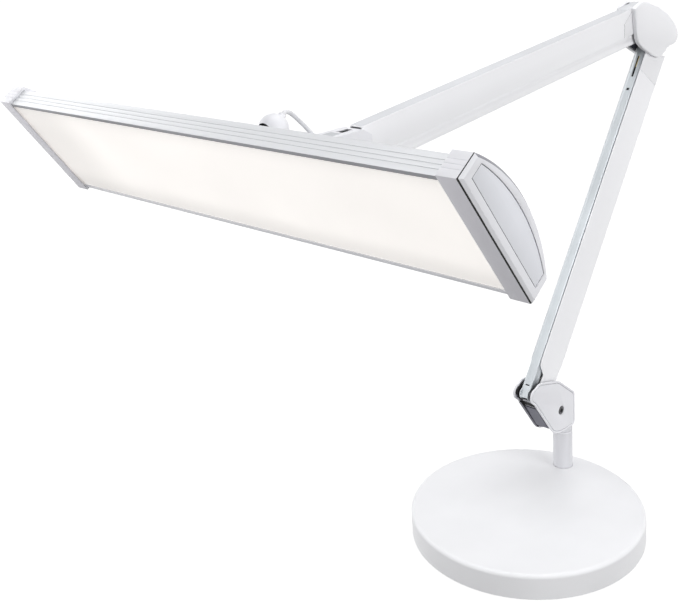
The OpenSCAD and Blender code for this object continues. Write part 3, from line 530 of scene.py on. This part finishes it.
class Wardrobe:
    """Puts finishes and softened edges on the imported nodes."""

    FLAT_ANGLE = math.radians(1.0)
    EDGE_ANGLE = math.radians(32.0)
    WELD = 0.002 * MM

    def __init__(self, maker: MaterialMaker) -> None:
        """Reads each node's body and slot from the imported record.

        Args:
            maker: Builds the materials.
        """
        self.maker = maker
        bodies = frame["record"]["behaviour"]["bodies"]
        self._body = {node: body for body, nodes in bodies.items() for node in nodes}
        self._slot = {part["node"]: part["material_slot"] for part in frame["record"]["subparts"]}

    def plain(self, finish: Finish, *nodes: str) -> None:
        """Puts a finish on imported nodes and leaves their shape.

        Args:
            finish: The finish.
            nodes: Names of the nodes.
        """
        for node in nodes:
            mesh = frame["nodes"][node].data
            mesh.materials.clear()
            mesh.materials.append(self.maker.get(finish))
            LOG.info("%s: %s", node, finish.name)

    def soft(
        self, node: str, finish: Finish, edge: float, steps: int = 2, paint: Paint | None = None, *trims: Trim
    ) -> None:
        """Shows a copy of a node with rounded edges and, where asked, faces of a second finish.

        Args:
            node: Name of the node.
            finish: Its main finish.
            edge: Width of the rounded edges.
            steps: Segments across an edge.
            paint: Picks another finish for a face from its normal and middle, or none.
            trims: Narrow flat cuts along some edges, which the paint sees as faces.
        """
        piece = self._copy(node, finish, paint, trims)
        bevel = piece.modifiers.new("edges", "BEVEL")
        bevel.width = edge
        bevel.segments = steps
        bevel.limit_method = "ANGLE"
        bevel.angle_limit = self.EDGE_ANGLE
        bevel.harden_normals = True
        bevel.use_clamp_overlap = True
        self.stand_in(piece, node)

    def stand_in(self, piece: bpy.types.Object, node: str) -> None:
        """Lets a piece ride with a node's body and stand for the node.

        Args:
            piece: The new piece.
            node: Node that it stands for.
        """
        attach(piece, self._body[node])
        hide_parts(node)
        LOG.info("%s: %s", node, piece.name)

    def add(self, piece: bpy.types.Object, node: str, finish: Finish, like: Finish) -> None:
        """Lets a small extra piece ride with a node's body.

        Args:
            piece: The new piece.
            node: Node that it goes with.
            finish: Its finish.
            like: Finish of the record's slot that it belongs to; not used.
        """
        piece.data.materials.append(self.maker.get(finish))
        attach(piece, self._body[node])
        LOG.info("%s: %s with %s", piece.name, finish.name, node)

    def _copy(
        self, node: str, finish: Finish, paint: Paint | None, trims: tuple[Trim, ...]
    ) -> bpy.types.Object:
        """Copies a node's mesh, joins its flat faces and gives each face its finish.

        Args:
            node: Name of the node.
            finish: Its main finish.
            paint: Picks another finish for a face, or none.
            trims: Narrow flat cuts along some edges.

        Returns:
            The copy, linked to the scene.
        """
        work = bmesh.new()
        work.from_mesh(frame["nodes"][node].data)
        work.transform(frame["nodes"][node].matrix_world)
        bmesh.ops.remove_doubles(work, verts=work.verts, dist=self.WELD)
        bmesh.ops.dissolve_limit(work, angle_limit=self.FLAT_ANGLE, verts=work.verts, edges=work.edges)
        for trim in trims:
            edges = [e for e in work.edges if len(e.link_faces) == 2 and trim.picks(e)]
            bmesh.ops.bevel(work, geom=edges, offset=trim.width, segments=1, affect="EDGES")
            work.normal_update()
        finishes = [finish]
        for face in work.faces:
            face.smooth = True
            face.material_index = 0
            other = paint(face.normal, face.calc_center_median()) if paint else None
            if other is not None:
                if other not in finishes:
                    finishes.append(other)
                face.material_index = finishes.index(other)
        piece = to_object(node + "_dressed", work)
        for one in finishes:
            piece.data.materials.append(self.maker.get(one))
        return piece


@dataclass
class Foot:
    """Weighted foot with its post.

    Attributes:
        edge: Width of the post's rounded edges.
        bush_edge: Width of the bush's rounded edges.
    """

    edge: float = 0.4 * MM
    bush_edge: float = 0.3 * MM

    def dress(self, wardrobe: Wardrobe) -> None:
        """Puts the finishes on the foot's pieces.

        Args:
            wardrobe: Puts the finishes on.
        """
        wardrobe.plain(Finishes.ENAMEL, "base_cover")
        wardrobe.plain(Finishes.STEEL, "base_weight")
        wardrobe.plain(Finishes.RUBBER, "base_pad")
        wardrobe.plain(Finishes.PIN, "base_screws", "sleeve_nut")
        wardrobe.soft("post_sleeve", Finishes.POST, self.edge)
        wardrobe.soft("sleeve_bush", Finishes.PLASTIC, self.bush_edge)


@dataclass
class Bracket:
    """Swivel bracket on the post.

    Attributes:
        spigot_edge: Width of the spigot's rounded edges.
        frame_edge: Width of the frame's rounded edges.
        screw_edge: Width of the clamp screw's rounded edges.
        cover_edge: Width of the cheek covers' rounded edges.
        cover_out: Reach of the cheek covers from the arm's plane.
        cover_in: Distance from the arm's plane within which no outer face of the covers lies.
        groove: Depth from which a face of the covers counts as the groove's floor.
        socket: Depths between which the clamp screw's head gets painted shade.
        frame_in: Distance from the arm's plane that parts the frame's web from its sides.
        web_at: Upper end of the frame's web, from the arm's pivot: backwards and up.
        web_wide: Width of the web.
        mouth: Length of the mouth at the web's upper end, a black plate of painted shade.
        lip: Length of the lip below the mouth, a light strip of painted highlight.
        face: Length and thickness of the plate below the lip.
        face_out: How far the plate stands off the web at its upper and its lower end.
        skin: Thickness of the mouth and the lip.
        lift: Height of their middle over the web.
        web: Direction that the frame's open side faces.
        web_top: Direction that the frame's upper edge faces.
    """

    spigot_edge: float = 0.4 * MM
    frame_edge: float = 0.3 * MM
    screw_edge: float = 0.1 * MM
    cover_edge: float = 0.3 * MM
    cover_out: float = 11.5 * MM
    cover_in: float = 9 * MM
    groove: float = 0.3 * MM
    socket: tuple[float, float] = (0.2 * MM, 1 * MM)
    frame_in: float = 5 * MM
    web_at: tuple[float, float] = (-19.3 * MM, -4.9 * MM)
    web_wide: float = 15 * MM
    mouth: float = 7.6 * MM
    lip: float = 1.2 * MM
    face: tuple[float, float] = (36.5 * MM, 0.6 * MM)
    face_out: tuple[float, float] = (1.1 * MM, 2.4 * MM)
    skin: float = 0.2 * MM
    lift: float = 0.12 * MM
    web: Vector = Vector((0, -0.806, -0.593))
    web_top: Vector = Vector((0, -0.593, 0.806))

    def dress(self, wardrobe: Wardrobe) -> None:
        """Puts the finishes on the bracket's pieces.

        Args:
            wardrobe: Puts the finishes on.
        """
        wardrobe.soft("swivel_spigot", Finishes.POST, self.spigot_edge)
        wardrobe.soft("bracket_frame", Finishes.DARK, self.frame_edge, paint=self._frame_paint)
        for side in ("right", "left"):
            wardrobe.soft("bracket_cover_" + side, Finishes.PLASTIC, self.cover_edge, 3, self._groove_paint)
        wardrobe.soft("clamp_screw", Finishes.SCREW, self.screw_edge, paint=self._socket_paint)
        wardrobe.soft("clamp_nut", Finishes.SCREW, self.screw_edge)
        wardrobe.plain(Finishes.PIN, "arm_pivot_pin", "link_pivot_pin")
        wardrobe.plain(Finishes.RUBBER, "bracket_washers")
        self._mouth(wardrobe)

    def _mouth(self, wardrobe: Wardrobe) -> None:
        """Adds the mouth under the link's foot as a black plate of painted shade, the lip below it as a light
        strip of painted highlight, and the plate below that.

        Args:
            wardrobe: Puts the finishes on.
        """
        along = -self.web_top
        start = place("lower_arm_tilt") + Vector((0, *self.web_at)) + self.lift * self.web
        at = start + self.mouth / 2 * along
        # black plate of painted shade in the bracket's mouth
        mouth = plate("bracket_mouth", (self.web_wide, self.mouth, self.skin), at, along)
        wardrobe.add(mouth, "bracket_frame", Finishes.PAINTED_SHADE, Finishes.RUBBER)
        at = start + (self.mouth + self.lip / 2) * along
        # light strip of painted highlight below the mouth
        lip = plate("bracket_lip", (self.web_wide, self.lip, self.skin), at, along)
        wardrobe.add(lip, "bracket_frame", Finishes.LIP, Finishes.ENAMEL)
        length, thick = self.face
        upper = start + (self.mouth + self.lip) * along + self.face_out[0] * self.web
        lower = upper + length * along + (self.face_out[1] - self.face_out[0]) * self.web
        lean = (lower - upper).normalized()
        face = plate("bracket_face", (self.web_wide, length, thick), (upper + lower) / 2, lean)
        wardrobe.add(face, "bracket_frame", Finishes.DARK, Finishes.DARK)

    def _groove_paint(self, normal: Vector, centre: Vector) -> Finish | None:
        """Greys the floor of a cheek cover's groove.

        Args:
            normal: Direction that the face looks in.
            centre: Middle of the face.

        Returns:
            The other finish, or none for the main one.
        """
        side = centre.x - place("lower_arm_tilt").x
        deep = self.cover_out - abs(side)
        return Finishes.GROOVE if normal.x * side > self.cover_in and deep > self.groove else None

    def _socket_paint(self, normal: Vector, centre: Vector) -> Finish | None:
        """Darkens the socket and the side of the clamp screw's head with painted shade."""
        deep = self.cover_out - (centre.x - place("lower_arm_tilt").x)
        # painted shade between these depths
        return Finishes.PAINTED_SHADE if self.socket[0] < deep < self.socket[1] else None

    def _frame_paint(self, normal: Vector, centre: Vector) -> Finish | None:
        """Darkens the frame's inside with painted shade and lightens its upper edge with a painted highlight.

        Args:
            normal: Direction that the face looks in.
            centre: Middle of the face.

        Returns:
            The other finish, or none for the main one.
        """
        side = centre.x - place("lower_arm_tilt").x
        # painted highlight on the web's upper edge
        if normal.dot(self.web_top) > 0.95 and abs(side) < self.frame_in:
            return Finishes.LIP
        # painted shade on every inside face of the frame
        outside = normal.dot(self.web) > 0.9 or normal.x * side > self.frame_in
        return None if outside else Finishes.PAINTED_SHADE


@dataclass
class BalanceSpring:
    """Coil spring that hangs on a hook pin inside an arm.

    Attributes:
        node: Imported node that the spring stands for.
        pin: Node of the hook pin.
        foot: Joint at the arm's foot.
        head: Joint at the arm's far end.
        length: Length from the pin's side to the far end.
        coil: Outer diameter of the coil.
        wire: Diameter of the wire.
        pitch: Rise of one turn.
        pin_d: Diameter of the hook pin.
        neck: Length from the pin's side to the first turn.
        tail: Length that the last turn stays short of the far end.
    """

    node: str
    pin: str
    foot: str
    head: str
    length: float = 150 * MM
    coil: float = 7 * MM
    wire: float = 1.2 * MM
    pitch: float = 2.1 * MM
    pin_d: float = 4 * MM
    neck: float = 4 * MM
    tail: float = 2 * MM

    def build(self, wardrobe: Wardrobe) -> None:
        """Winds the spring and hooks it to its pin.

        Args:
            wardrobe: Puts the finishes on.
        """
        along = (place(self.foot) - place(self.head)).normalized()
        across = Vector((1, 0, 0))
        over = along.cross(across)
        start = middle(self.pin)
        bend = (self.pin_d + self.wire) / 2
        line = [
            start + bend * (-math.cos(math.radians(a)) * along + math.sin(math.radians(a)) * over)
            for a in range(-60, 91, 15)
        ]
        radius = (self.coil - self.wire) / 2
        first = self.pin_d / 2 + self.neck
        turns = round((self.length - self.tail - first) / self.pitch)
        for k in range(turns * 12 + 1):
            angle = math.pi / 2 + 2 * math.pi * k / 12
            swing = radius * (math.cos(angle) * across + math.sin(angle) * over)
            line.append(start + (first + k * self.pitch / 12) * along + swing)
        piece = sweep(self.node + "_coil", line, self.wire / 2, 6)
        piece.data.materials.append(wardrobe.maker.get(Finishes.PIN))
        wardrobe.stand_in(piece, self.node)


@dataclass
class LowerArm:
    """Lower arm with its spring, its link and the wire in the link.

    Attributes:
        edge: Width of the channel's rounded edges.
        cap_edge: Width of the cap's rounded edges.
        link_edge: Width of the link's rounded edges.
        wire_d: Diameter of the wire.
        wire_in: Place of the wire's middle in front of the link's pivots.
        wire_run: Where the wire starts and ends, from the link's upper pivot.
        shade: Width, length and thickness of the black plate of painted shade behind the link's slot.
        shade_down: How far below the link's upper pivot the plate's middle lies.
    """

    edge: float = 0.5 * MM
    cap_edge: float = 0.4 * MM
    link_edge: float = 0.3 * MM
    wire_d: float = 2.2 * MM
    wire_in: float = 1.7 * MM
    wire_run: tuple[float, float] = (-45 * MM, -8 * MM)
    shade: tuple[float, float, float] = (6 * MM, 32 * MM, 0.3 * MM)
    shade_down: float = 45 * MM

    def dress(self, wardrobe: Wardrobe) -> None:
        """Puts the finishes on the lower arm's pieces and adds its spring and wire.

        Args:
            wardrobe: Puts the finishes on.
        """
        wardrobe.soft("lower_arm_channel", Finishes.ARM, self.edge, 3)
        wardrobe.soft("lower_arm_cap", Finishes.COVER, self.cap_edge, 3)
        wardrobe.plain(Finishes.PIN, "lower_hook_pin")
        wardrobe.soft("lower_link_channel", Finishes.ZINC, self.link_edge)
        BalanceSpring("lower_spring", "lower_hook_pin", "lower_arm_tilt", "elbow_level").build(wardrobe)
        self._wire(wardrobe)

    def _wire(self, wardrobe: Wardrobe) -> None:
        """Runs the wire that shows in the link's slot and darkens the space behind it with a black plate of
        painted shade.

        Args:
            wardrobe: Puts the finishes on.
        """
        along = (place("elbow_level") - place("lower_arm_tilt")).normalized()
        ahead = Vector((0, -along.z, along.y))
        top = place("lower_link_tilt") + (place("elbow_level") - place("lower_arm_tilt"))
        first, last = self.wire_run
        line = [top + (first + (last - first) * k / 6) * along + self.wire_in * ahead for k in range(7)]
        wire = sweep("link_wire", line, self.wire_d / 2)
        wardrobe.add(wire, "lower_link_channel", Finishes.WIRE, Finishes.LEAD)
        # black plate of painted shade behind the slot
        shade = plate("link_shade", self.shade, top - self.shade_down * along, along)
        wardrobe.add(shade, "lower_link_channel", Finishes.PAINTED_SHADE, Finishes.RUBBER)


@dataclass
class Elbow:
    """Elbow that joins both arms.

    Attributes:
        edge: Width of the covers' rounded edges.
    """

    edge: float = 2.6 * MM

    def dress(self, wardrobe: Wardrobe) -> None:
        """Puts the finishes on the elbow's pieces.

        Args:
            wardrobe: Puts the finishes on.
        """
        wardrobe.plain(Finishes.DARK, "elbow_frame")
        for side in ("right", "left"):
            wardrobe.soft("elbow_cover_" + side, Finishes.COVER, self.edge, 3)
        wardrobe.plain(Finishes.SCREW, "elbow_screws")
        wardrobe.plain(Finishes.PIN, "elbow_pins")
        wardrobe.plain(Finishes.RUBBER, "elbow_washers")


@dataclass
class UpperArm:
    """Upper arm with its spring and its link.

    Attributes:
        edge: Width of the channel's rounded edges.
        cap_edge: Width of the cap's and the link's rounded edges.
        lip_cut: Reach of the slope at the channel's upper front edge.
    """

    edge: float = 0.5 * MM
    cap_edge: float = 0.3 * MM
    lip_cut: float = 0.9 * MM

    def dress(self, wardrobe: Wardrobe) -> None:
        """Puts the finishes on the upper arm's pieces and adds its spring.

        Args:
            wardrobe: Puts the finishes on.
        """
        slope = Trim(self.lip_cut, self._on_lip)
        wardrobe.soft("upper_arm_channel", Finishes.ARM, self.edge, 3, self._channel_paint, slope)
        wardrobe.soft("upper_arm_cap", Finishes.COVER, self.cap_edge, 2, self._cap_paint)
        wardrobe.plain(Finishes.PIN, "upper_hook_pin")
        wardrobe.soft("upper_link_channel", Finishes.ARM, self.cap_edge)
        BalanceSpring("upper_spring", "upper_hook_pin", "upper_arm_tilt", "head_level").build(wardrobe)

    @staticmethod
    def _along() -> Vector:
        """Returns the direction from the elbow to the head."""
        return (place("head_level") - place("upper_arm_tilt")).normalized()

    def _on_lip(self, edge: bmesh.types.BMEdge) -> bool:
        """Tells whether an edge lies between the channel's top and its front end."""
        top, front = sorted(edge.link_faces, key=lambda face: -face.normal.z)
        return top.normal.z > 0.9 and front.normal.dot(self._along()) > 0.9

    def _paint(self, normal: Vector, seam_side: float) -> Finish | None:
        """Greys the faces that look up with painted shade and darkens those in the seam between channel and
        cap.

        Args:
            normal: Direction that the face looks in.
            seam_side: 1 where the seam's faces look to the head, -1 where they look to the elbow.

        Returns:
            The other finish, or none for the main one.
        """
        if normal.dot(self._along()) * seam_side > 0.5:
            return Finishes.SEAM
        # painted shade on the faces that look up
        return Finishes.ARM_TOP_SHADE if normal.z > 0.9 else None

    def _channel_paint(self, normal: Vector, centre: Vector) -> Finish | None:
        """Paints the channel, whose seam faces the elbow."""
        return self._paint(normal, -1.0)

    def _cap_paint(self, normal: Vector, centre: Vector) -> Finish | None:
        """Paints the cap, whose seam faces the head."""
        return self._paint(normal, 1.0)


@dataclass
class HeadEnd:
    """Bracket and cover at the front end of the upper arm.

    Attributes:
        edge: Width of the cover's rounded edges.
        bracket_edge: Width of the bracket's rounded edges.
        shade: Width, length and thickness of the black plate of painted shade that shows in the cover's slot.
        shade_up: Height of the plate's middle over the front pivot.
    """

    edge: float = 0.5 * MM
    bracket_edge: float = 0.3 * MM
    shade: tuple[float, float, float] = (7.8 * MM, 13.4 * MM, 0.3 * MM)
    shade_up: float = 11.5 * MM

    def dress(self, wardrobe: Wardrobe) -> None:
        """Puts the finishes on the pieces and adds the black plate of painted shade.

        Args:
            wardrobe: Puts the finishes on.
        """
        wardrobe.soft("head_bracket", Finishes.STEEL, self.bracket_edge)
        wardrobe.soft("arm_end_cover", Finishes.PLASTIC, self.edge, 3)
        wardrobe.plain(Finishes.PIN, "head_bracket_pins")
        wardrobe.plain(Finishes.RUBBER, "head_bracket_washers")
        # black plate of painted shade under the cover's slot
        at = place("head_level") + Vector((0, -self.shade[1] / 2, self.shade_up))
        shade = plate("slot_shade", self.shade, at, Vector((0, 1, 0)))
        wardrobe.add(shade, "arm_end_cover", Finishes.PAINTED_SHADE, Finishes.RUBBER)


@dataclass
class Knuckle:
    """Domed knuckle between the head bracket and the head.

    Attributes:
        edge: Width of the rounded edges.
        dome_up: Height of the dome's middle over its swivel joint.
        inside: Radius inside which the dome gets painted shade.
    """

    edge: float = 0.4 * MM
    dome_up: float = 20 * MM
    inside: float = 11.5 * MM

    def dress(self, wardrobe: Wardrobe) -> None:
        """Puts the finishes on the knuckle's pieces.

        Args:
            wardrobe: Puts the finishes on.
        """
        wardrobe.soft("knuckle_body", Finishes.PLASTIC, self.edge, paint=self._window_paint)
        wardrobe.plain(Finishes.PIN, "swivel_pin")
        wardrobe.plain(Finishes.RUBBER, "swivel_washer")

    def _window_paint(self, normal: Vector, centre: Vector) -> Finish | None:
        """Darkens the inside of the dome's window with painted shade.

        Args:
            normal: Direction that the face looks in.
            centre: Middle of the face.

        Returns:
            The other finish, or none for the main one.
        """
        off = centre - place("head_swivel") - Vector((0, 0, self.dome_up))
        off.z = max(off.z, 0.0)
        # painted shade inside the window
        return Finishes.PAINTED_SHADE if off.length < self.inside and normal.z > -0.9 else None


@dataclass
class Head:
    """Light head.

    Attributes:
        housing_edge: Width of the housing's rounded edges.
        cap_edge: Width of the end caps' rounded edges.
        panel_edge: Width of the cap panels' rounded edges.
        mount_edge: Width of the rounded edges of the mount and the buttons.
        gland_edge: Width of the gland's rounded edges.
        under_line: Reach of the line of painted shade between an end cap's underside and its chamfer.
        cap_line: Reach of the line of painted shade between an end cap's front wall and its chamfer.
        panel_line: Reach of the dark line round a cap's panel.
        least_edge: Length over which an end cap's edge takes a line.
    """

    housing_edge: float = 0.12 * MM
    cap_edge: float = 0.15 * MM
    panel_edge: float = 0.05 * MM
    mount_edge: float = 0.4 * MM
    gland_edge: float = 0.2 * MM
    under_line: float = 0.7 * MM
    cap_line: float = 0.36 * MM
    panel_line: float = 0.3 * MM
    least_edge: float = 1 * MM

    def dress(self, wardrobe: Wardrobe) -> None:
        """Puts the finishes on the head's pieces.

        Args:
            wardrobe: Puts the finishes on.
        """
        wardrobe.soft("head_housing", Finishes.SILVER, self.housing_edge, paint=self._lip_paint)
        lines = (Trim(self.under_line, self._on_under), Trim(self.cap_line, self._on_rim))
        outline = Trim(self.panel_line, self._on_panel)
        for side in ("right", "left"):
            wardrobe.soft("end_cap_" + side, Finishes.CAP, self.cap_edge, 2, self._cap_paint, *lines)
            wardrobe.soft("cap_panel_" + side, Finishes.PANEL, self.panel_edge, 1, self._panel_paint, outline)
        wardrobe.plain(Finishes.PIN, "cap_screws", "mount_screws", "tilt_pin")
        wardrobe.plain(Finishes.OPAL, "diffuser")
        wardrobe.plain(Finishes.BOARD, "light_board")
        wardrobe.plain(Finishes.CHIP, "light_chips")
        wardrobe.plain(Finishes.PLASTIC, "driver_box")
        wardrobe.soft("head_mount", Finishes.PLASTIC, self.mount_edge)
        wardrobe.soft("lead_gland", Finishes.PLASTIC, self.gland_edge)
        for button in ("power_button", "dimmer_button"):
            wardrobe.soft(button, Finishes.BUTTON, self.mount_edge, 3)

    @staticmethod
    def _back() -> Vector:
        """Returns the direction that the head's back faces, opposite to the buttons' press."""
        return -Vector(joint("power_button_press")["axis"])

    def _lip_paint(self, normal: Vector, centre: Vector) -> Finish | None:
        """Darkens the lips that hold the diffuser, the front one more than the rear one.

        Args:
            normal: Direction that the face looks in.
            centre: Middle of the face.

        Returns:
            The other finish, or none for the main one.
        """
        back = self._back()
        if normal.dot(back) > -0.9:
            return None
        ahead = (centre - middle("diffuser")).dot(Vector((0, -back.z, back.y)))
        # the front lip takes the darker grey, the rear lip the lighter one
        return Finishes.FRONT_LIP_GREY if ahead > 0 else Finishes.LIP

    def _on_rim(self, edge: bmesh.types.BMEdge) -> bool:
        """Tells whether an edge lies between an end cap's front or lower wall and its chamfer.

        Args:
            edge: Edge with its two faces.

        Returns:
            True for an edge that is cut.
        """
        wall, slope = sorted(edge.link_faces, key=lambda face: abs(face.normal.x))
        plain = abs(wall.normal.x) < 0.1 and 0.5 < abs(slope.normal.x) < 0.9
        return plain and edge.calc_length() > self.least_edge and not self._behind(wall.normal)

    def _on_under(self, edge: bmesh.types.BMEdge) -> bool:
        """Tells whether an edge lies between an end cap's underside and its chamfer."""
        return self._on_rim(edge) and any(face.normal.dot(self._back()) < -0.95 for face in edge.link_faces)

    @staticmethod
    def _on_panel(edge: bmesh.types.BMEdge) -> bool:
        """Tells whether an edge runs round a panel's face."""
        wall, face = sorted(edge.link_faces, key=lambda one: abs(one.normal.x))
        return abs(wall.normal.x) < 0.1 and abs(face.normal.x) > 0.95

    @staticmethod
    def _panel_paint(normal: Vector, centre: Vector) -> Finish | None:
        """Darkens the line round a panel."""
        return Finishes.SEAM if 0.3 < abs(normal.x) < 0.9 else None

    def _behind(self, normal: Vector) -> bool:
        """Tells whether a face of the head looks neither down to the work nor forward."""
        back = self._back()
        return normal.dot(back) > -0.2 and normal.dot(Vector((0, -back.z, back.y))) < 0.6

    def _cap_paint(self, normal: Vector, centre: Vector) -> Finish | None:
        """Paints shade on an end cap's underside, on the dark line round it and on the chamfer above its back.

        Args:
            normal: Direction that the face looks in.
            centre: Middle of the face.

        Returns:
            The other finish, or none for the main one.
        """
        across = abs(normal.x)
        # painted shade on the underside
        if normal.dot(self._back()) < -0.95:
            return Finishes.CAP_UNDER_SHADE
        # painted shade on the chamfer above the back
        if 0.55 < across < 0.97 and self._behind(normal):
            return Finishes.CAP_CHAMFER_SHADE
        # painted shade on the dark line round the cap
        return Finishes.PAINTED_SHADE if 0.2 < across < 0.55 else None


@dataclass
class Lead:
    """Short lead from the knuckle to the end of the upper arm.

    Attributes:
        diameter: Diameter of the jacket.
        route: Stations from the arm's front pivot: across, backwards and up, in millimetres.
        steps: Points from one station to the next.
    """

    diameter: float = 3.6 * MM
    route: tuple[tuple[float, float, float], ...] = (
        (0, -77.4, 33.4), (0, -74, 36.8), (-0.5, -70.8, 38.9), (-1.4, -67, 39.5), (-2.6, -62.2, 37.6),
        (-3.8, -56.4, 33.6), (-5.2, -50, 28.4), (-6.6, -44.2, 23.6), (-8, -38.6, 18.6), (-8.8, -34, 14.2),
        (-9, -29.9, 9.7),
    )
    steps: int = 3

    def build(self, wardrobe: Wardrobe) -> None:
        """Makes the lead as a curved tube from the knuckle to the head bracket.

        Args:
            wardrobe: Gives the jacket's material.
        """
        pivot = place("head_level")
        stations = [pivot + Vector(station) * MM for station in self.route]
        line = smooth_route(stations, self.steps)
        lead = sweep("head_lead_tube", line, self.diameter / 2, 14)
        lead.data.materials.append(wardrobe.maker.get(Finishes.LEAD))
        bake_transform(lead)
        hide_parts("head_lead")


@dataclass
class Studio:
    """Camera, floor, lights and background.

    Attributes:
        frame_px: Width and height of the photograph.
        focal_px: Focal length in pixels.
        centre_px: Principal point in pixels from the upper left.
        eye: Place of the camera.
        right: Direction to the picture's right.
        ahead: Direction that the camera faces.
        floor_lift: Light that the floor adds for rays that show the background.
        fill: Strength of the background's soft light.
        lamps: The soft lamps.
    """

    frame_px: tuple[int, int] = (679, 602)
    focal_px: float = 1056.78
    centre_px: tuple[float, float] = (328.95, 165.98)
    eye: Vector = Vector((0.5807, -0.8158, 0.6449))
    right: Vector = Vector((0.7047, 0.7067, -0.0631))
    ahead: Vector = Vector((-0.6983, 0.6752, -0.2376))
    floor_lift: float = 0.95
    fill: float = 0.38
    lamps: tuple[Lamp, ...] = (
        Lamp("right", (3.4, 0.2, 1.2), (0, 0, 0.45), 2.0, 62),
        Lamp("left", (-1.9, -0.7, 1.0), (0, -0.1, 0.3), 1.4, 12),
        Lamp("front", (-0.6, -2.7, 0.25), (0, 0, 0), 1.0, 28),
        Lamp("top", (0, 0.6, 3.5), (0, 0, 0), 2.7, 56),
    )

    def camera(self) -> None:
        """Places the camera that was fitted to the photograph."""
        data = bpy.data.cameras.new("camera")
        data.sensor_fit = "HORIZONTAL"
        wide, high = self.frame_px
        data.lens = self.focal_px * data.sensor_width / wide
        data.shift_x = (wide / 2 - self.centre_px[0]) / wide
        data.shift_y = (self.centre_px[1] - high / 2) / wide
        data.clip_start = 0.01
        camera = bpy.data.objects.new("camera", data)
        bpy.context.scene.collection.objects.link(camera)
        ahead = self.ahead.normalized()
        right = (self.right - self.right.dot(ahead) * ahead).normalized()
        turn = Matrix((right, right.cross(ahead), -ahead)).transposed().to_4x4()
        camera.matrix_world = Matrix.Translation(self.eye) @ turn
        bpy.context.scene.camera = camera
        LOG.info("camera: %.1f mm", data.lens)

    def floor(self, maker: MaterialMaker) -> None:
        """Lays a large pale floor under the lamp.

        Args:
            maker: Builds the floor's material.
        """
        work = bmesh.new()
        bmesh.ops.create_grid(work, x_segments=1, y_segments=1, size=14.0)
        floor = to_object("floor", work)
        material = maker.get(Finishes.FLOOR)
        tree = material.node_tree
        shader = tree.nodes["Principled BSDF"]
        shader.inputs["Emission Color"].default_value = (1, 1, 1, 1)
        shown = tree.nodes.new("ShaderNodeMath")
        shown.operation = "MULTIPLY"
        shown.inputs[1].default_value = self.floor_lift
        tree.links.new(self._shown_rays(tree), shown.inputs[0])
        tree.links.new(shown.outputs[0], shader.inputs["Emission Strength"])
        floor.data.materials.append(material)
        LOG.info("floor laid")

    def lights(self) -> None:
        """Hangs the lamps."""
        for lamp in self.lamps:
            data = bpy.data.lights.new(lamp.name, "AREA")
            data.size = lamp.size
            data.energy = lamp.watts
            light = bpy.data.objects.new(lamp.name, data)
            bpy.context.scene.collection.objects.link(light)
            light.location = lamp.at
            ahead = Vector(lamp.aim) - Vector(lamp.at)
            light.rotation_euler = ahead.to_track_quat("-Z", "Y").to_euler()
            LOG.info("light %s: %d W", lamp.name, lamp.watts)

    def background(self) -> None:
        """Shows white behind the lamp and lights it more softly than it shows."""
        world = bpy.data.worlds.new("studio")
        world.use_nodes = True
        tree = world.node_tree
        show = tree.nodes["Background"]
        show.inputs["Color"].default_value = (1, 1, 1, 1)
        show.inputs["Strength"].default_value = 1.0
        fill = tree.nodes.new("ShaderNodeBackground")
        fill.inputs["Color"].default_value = (0.97, 0.98, 1.0, 1)
        fill.inputs["Strength"].default_value = self.fill
        mix = tree.nodes.new("ShaderNodeMixShader")
        tree.links.new(self._shown_rays(tree), mix.inputs["Fac"])
        tree.links.new(fill.outputs["Background"], mix.inputs[1])
        tree.links.new(show.outputs["Background"], mix.inputs[2])
        tree.links.new(mix.outputs["Shader"], tree.nodes["World Output"].inputs["Surface"])
        bpy.context.scene.world = world
        LOG.info("background set")

    @staticmethod
    def _shown_rays(tree: bpy.types.NodeTree) -> bpy.types.NodeSocket:
        """Gives 1 for rays that show the background: straight, mirrored or through clear pieces.

        Args:
            tree: Nodes of the floor's material or of the world.

        Returns:
            The socket that holds the 1 or 0.
        """
        path = tree.nodes.new("ShaderNodeLightPath")
        shown = path.outputs["Is Camera Ray"]
        for name in ("Is Glossy Ray", "Is Transmission Ray"):
            either = tree.nodes.new("ShaderNodeMath")
            either.operation = "MAXIMUM"
            tree.links.new(shown, either.inputs[0])
            tree.links.new(path.outputs[name], either.inputs[1])
            shown = either.outputs[0]
        return shown


def main() -> None:
    """Dresses the lamp and sets up the studio."""
    logging.basicConfig(level=logging.INFO)
    bpy.context.scene.view_settings.view_transform = "Standard"
    maker = MaterialMaker()
    wardrobe = Wardrobe(maker)
    studio = Studio()
    studio.camera()
    Lead().build(wardrobe)
    for assembly in (Foot(), Bracket(), LowerArm(), Elbow(), UpperArm(), HeadEnd(), Knuckle(), Head()):
        assembly.dress(wardrobe)
    studio.floor(maker)
    studio.background()
    studio.lights()


if __name__ == "__main__":
    main()
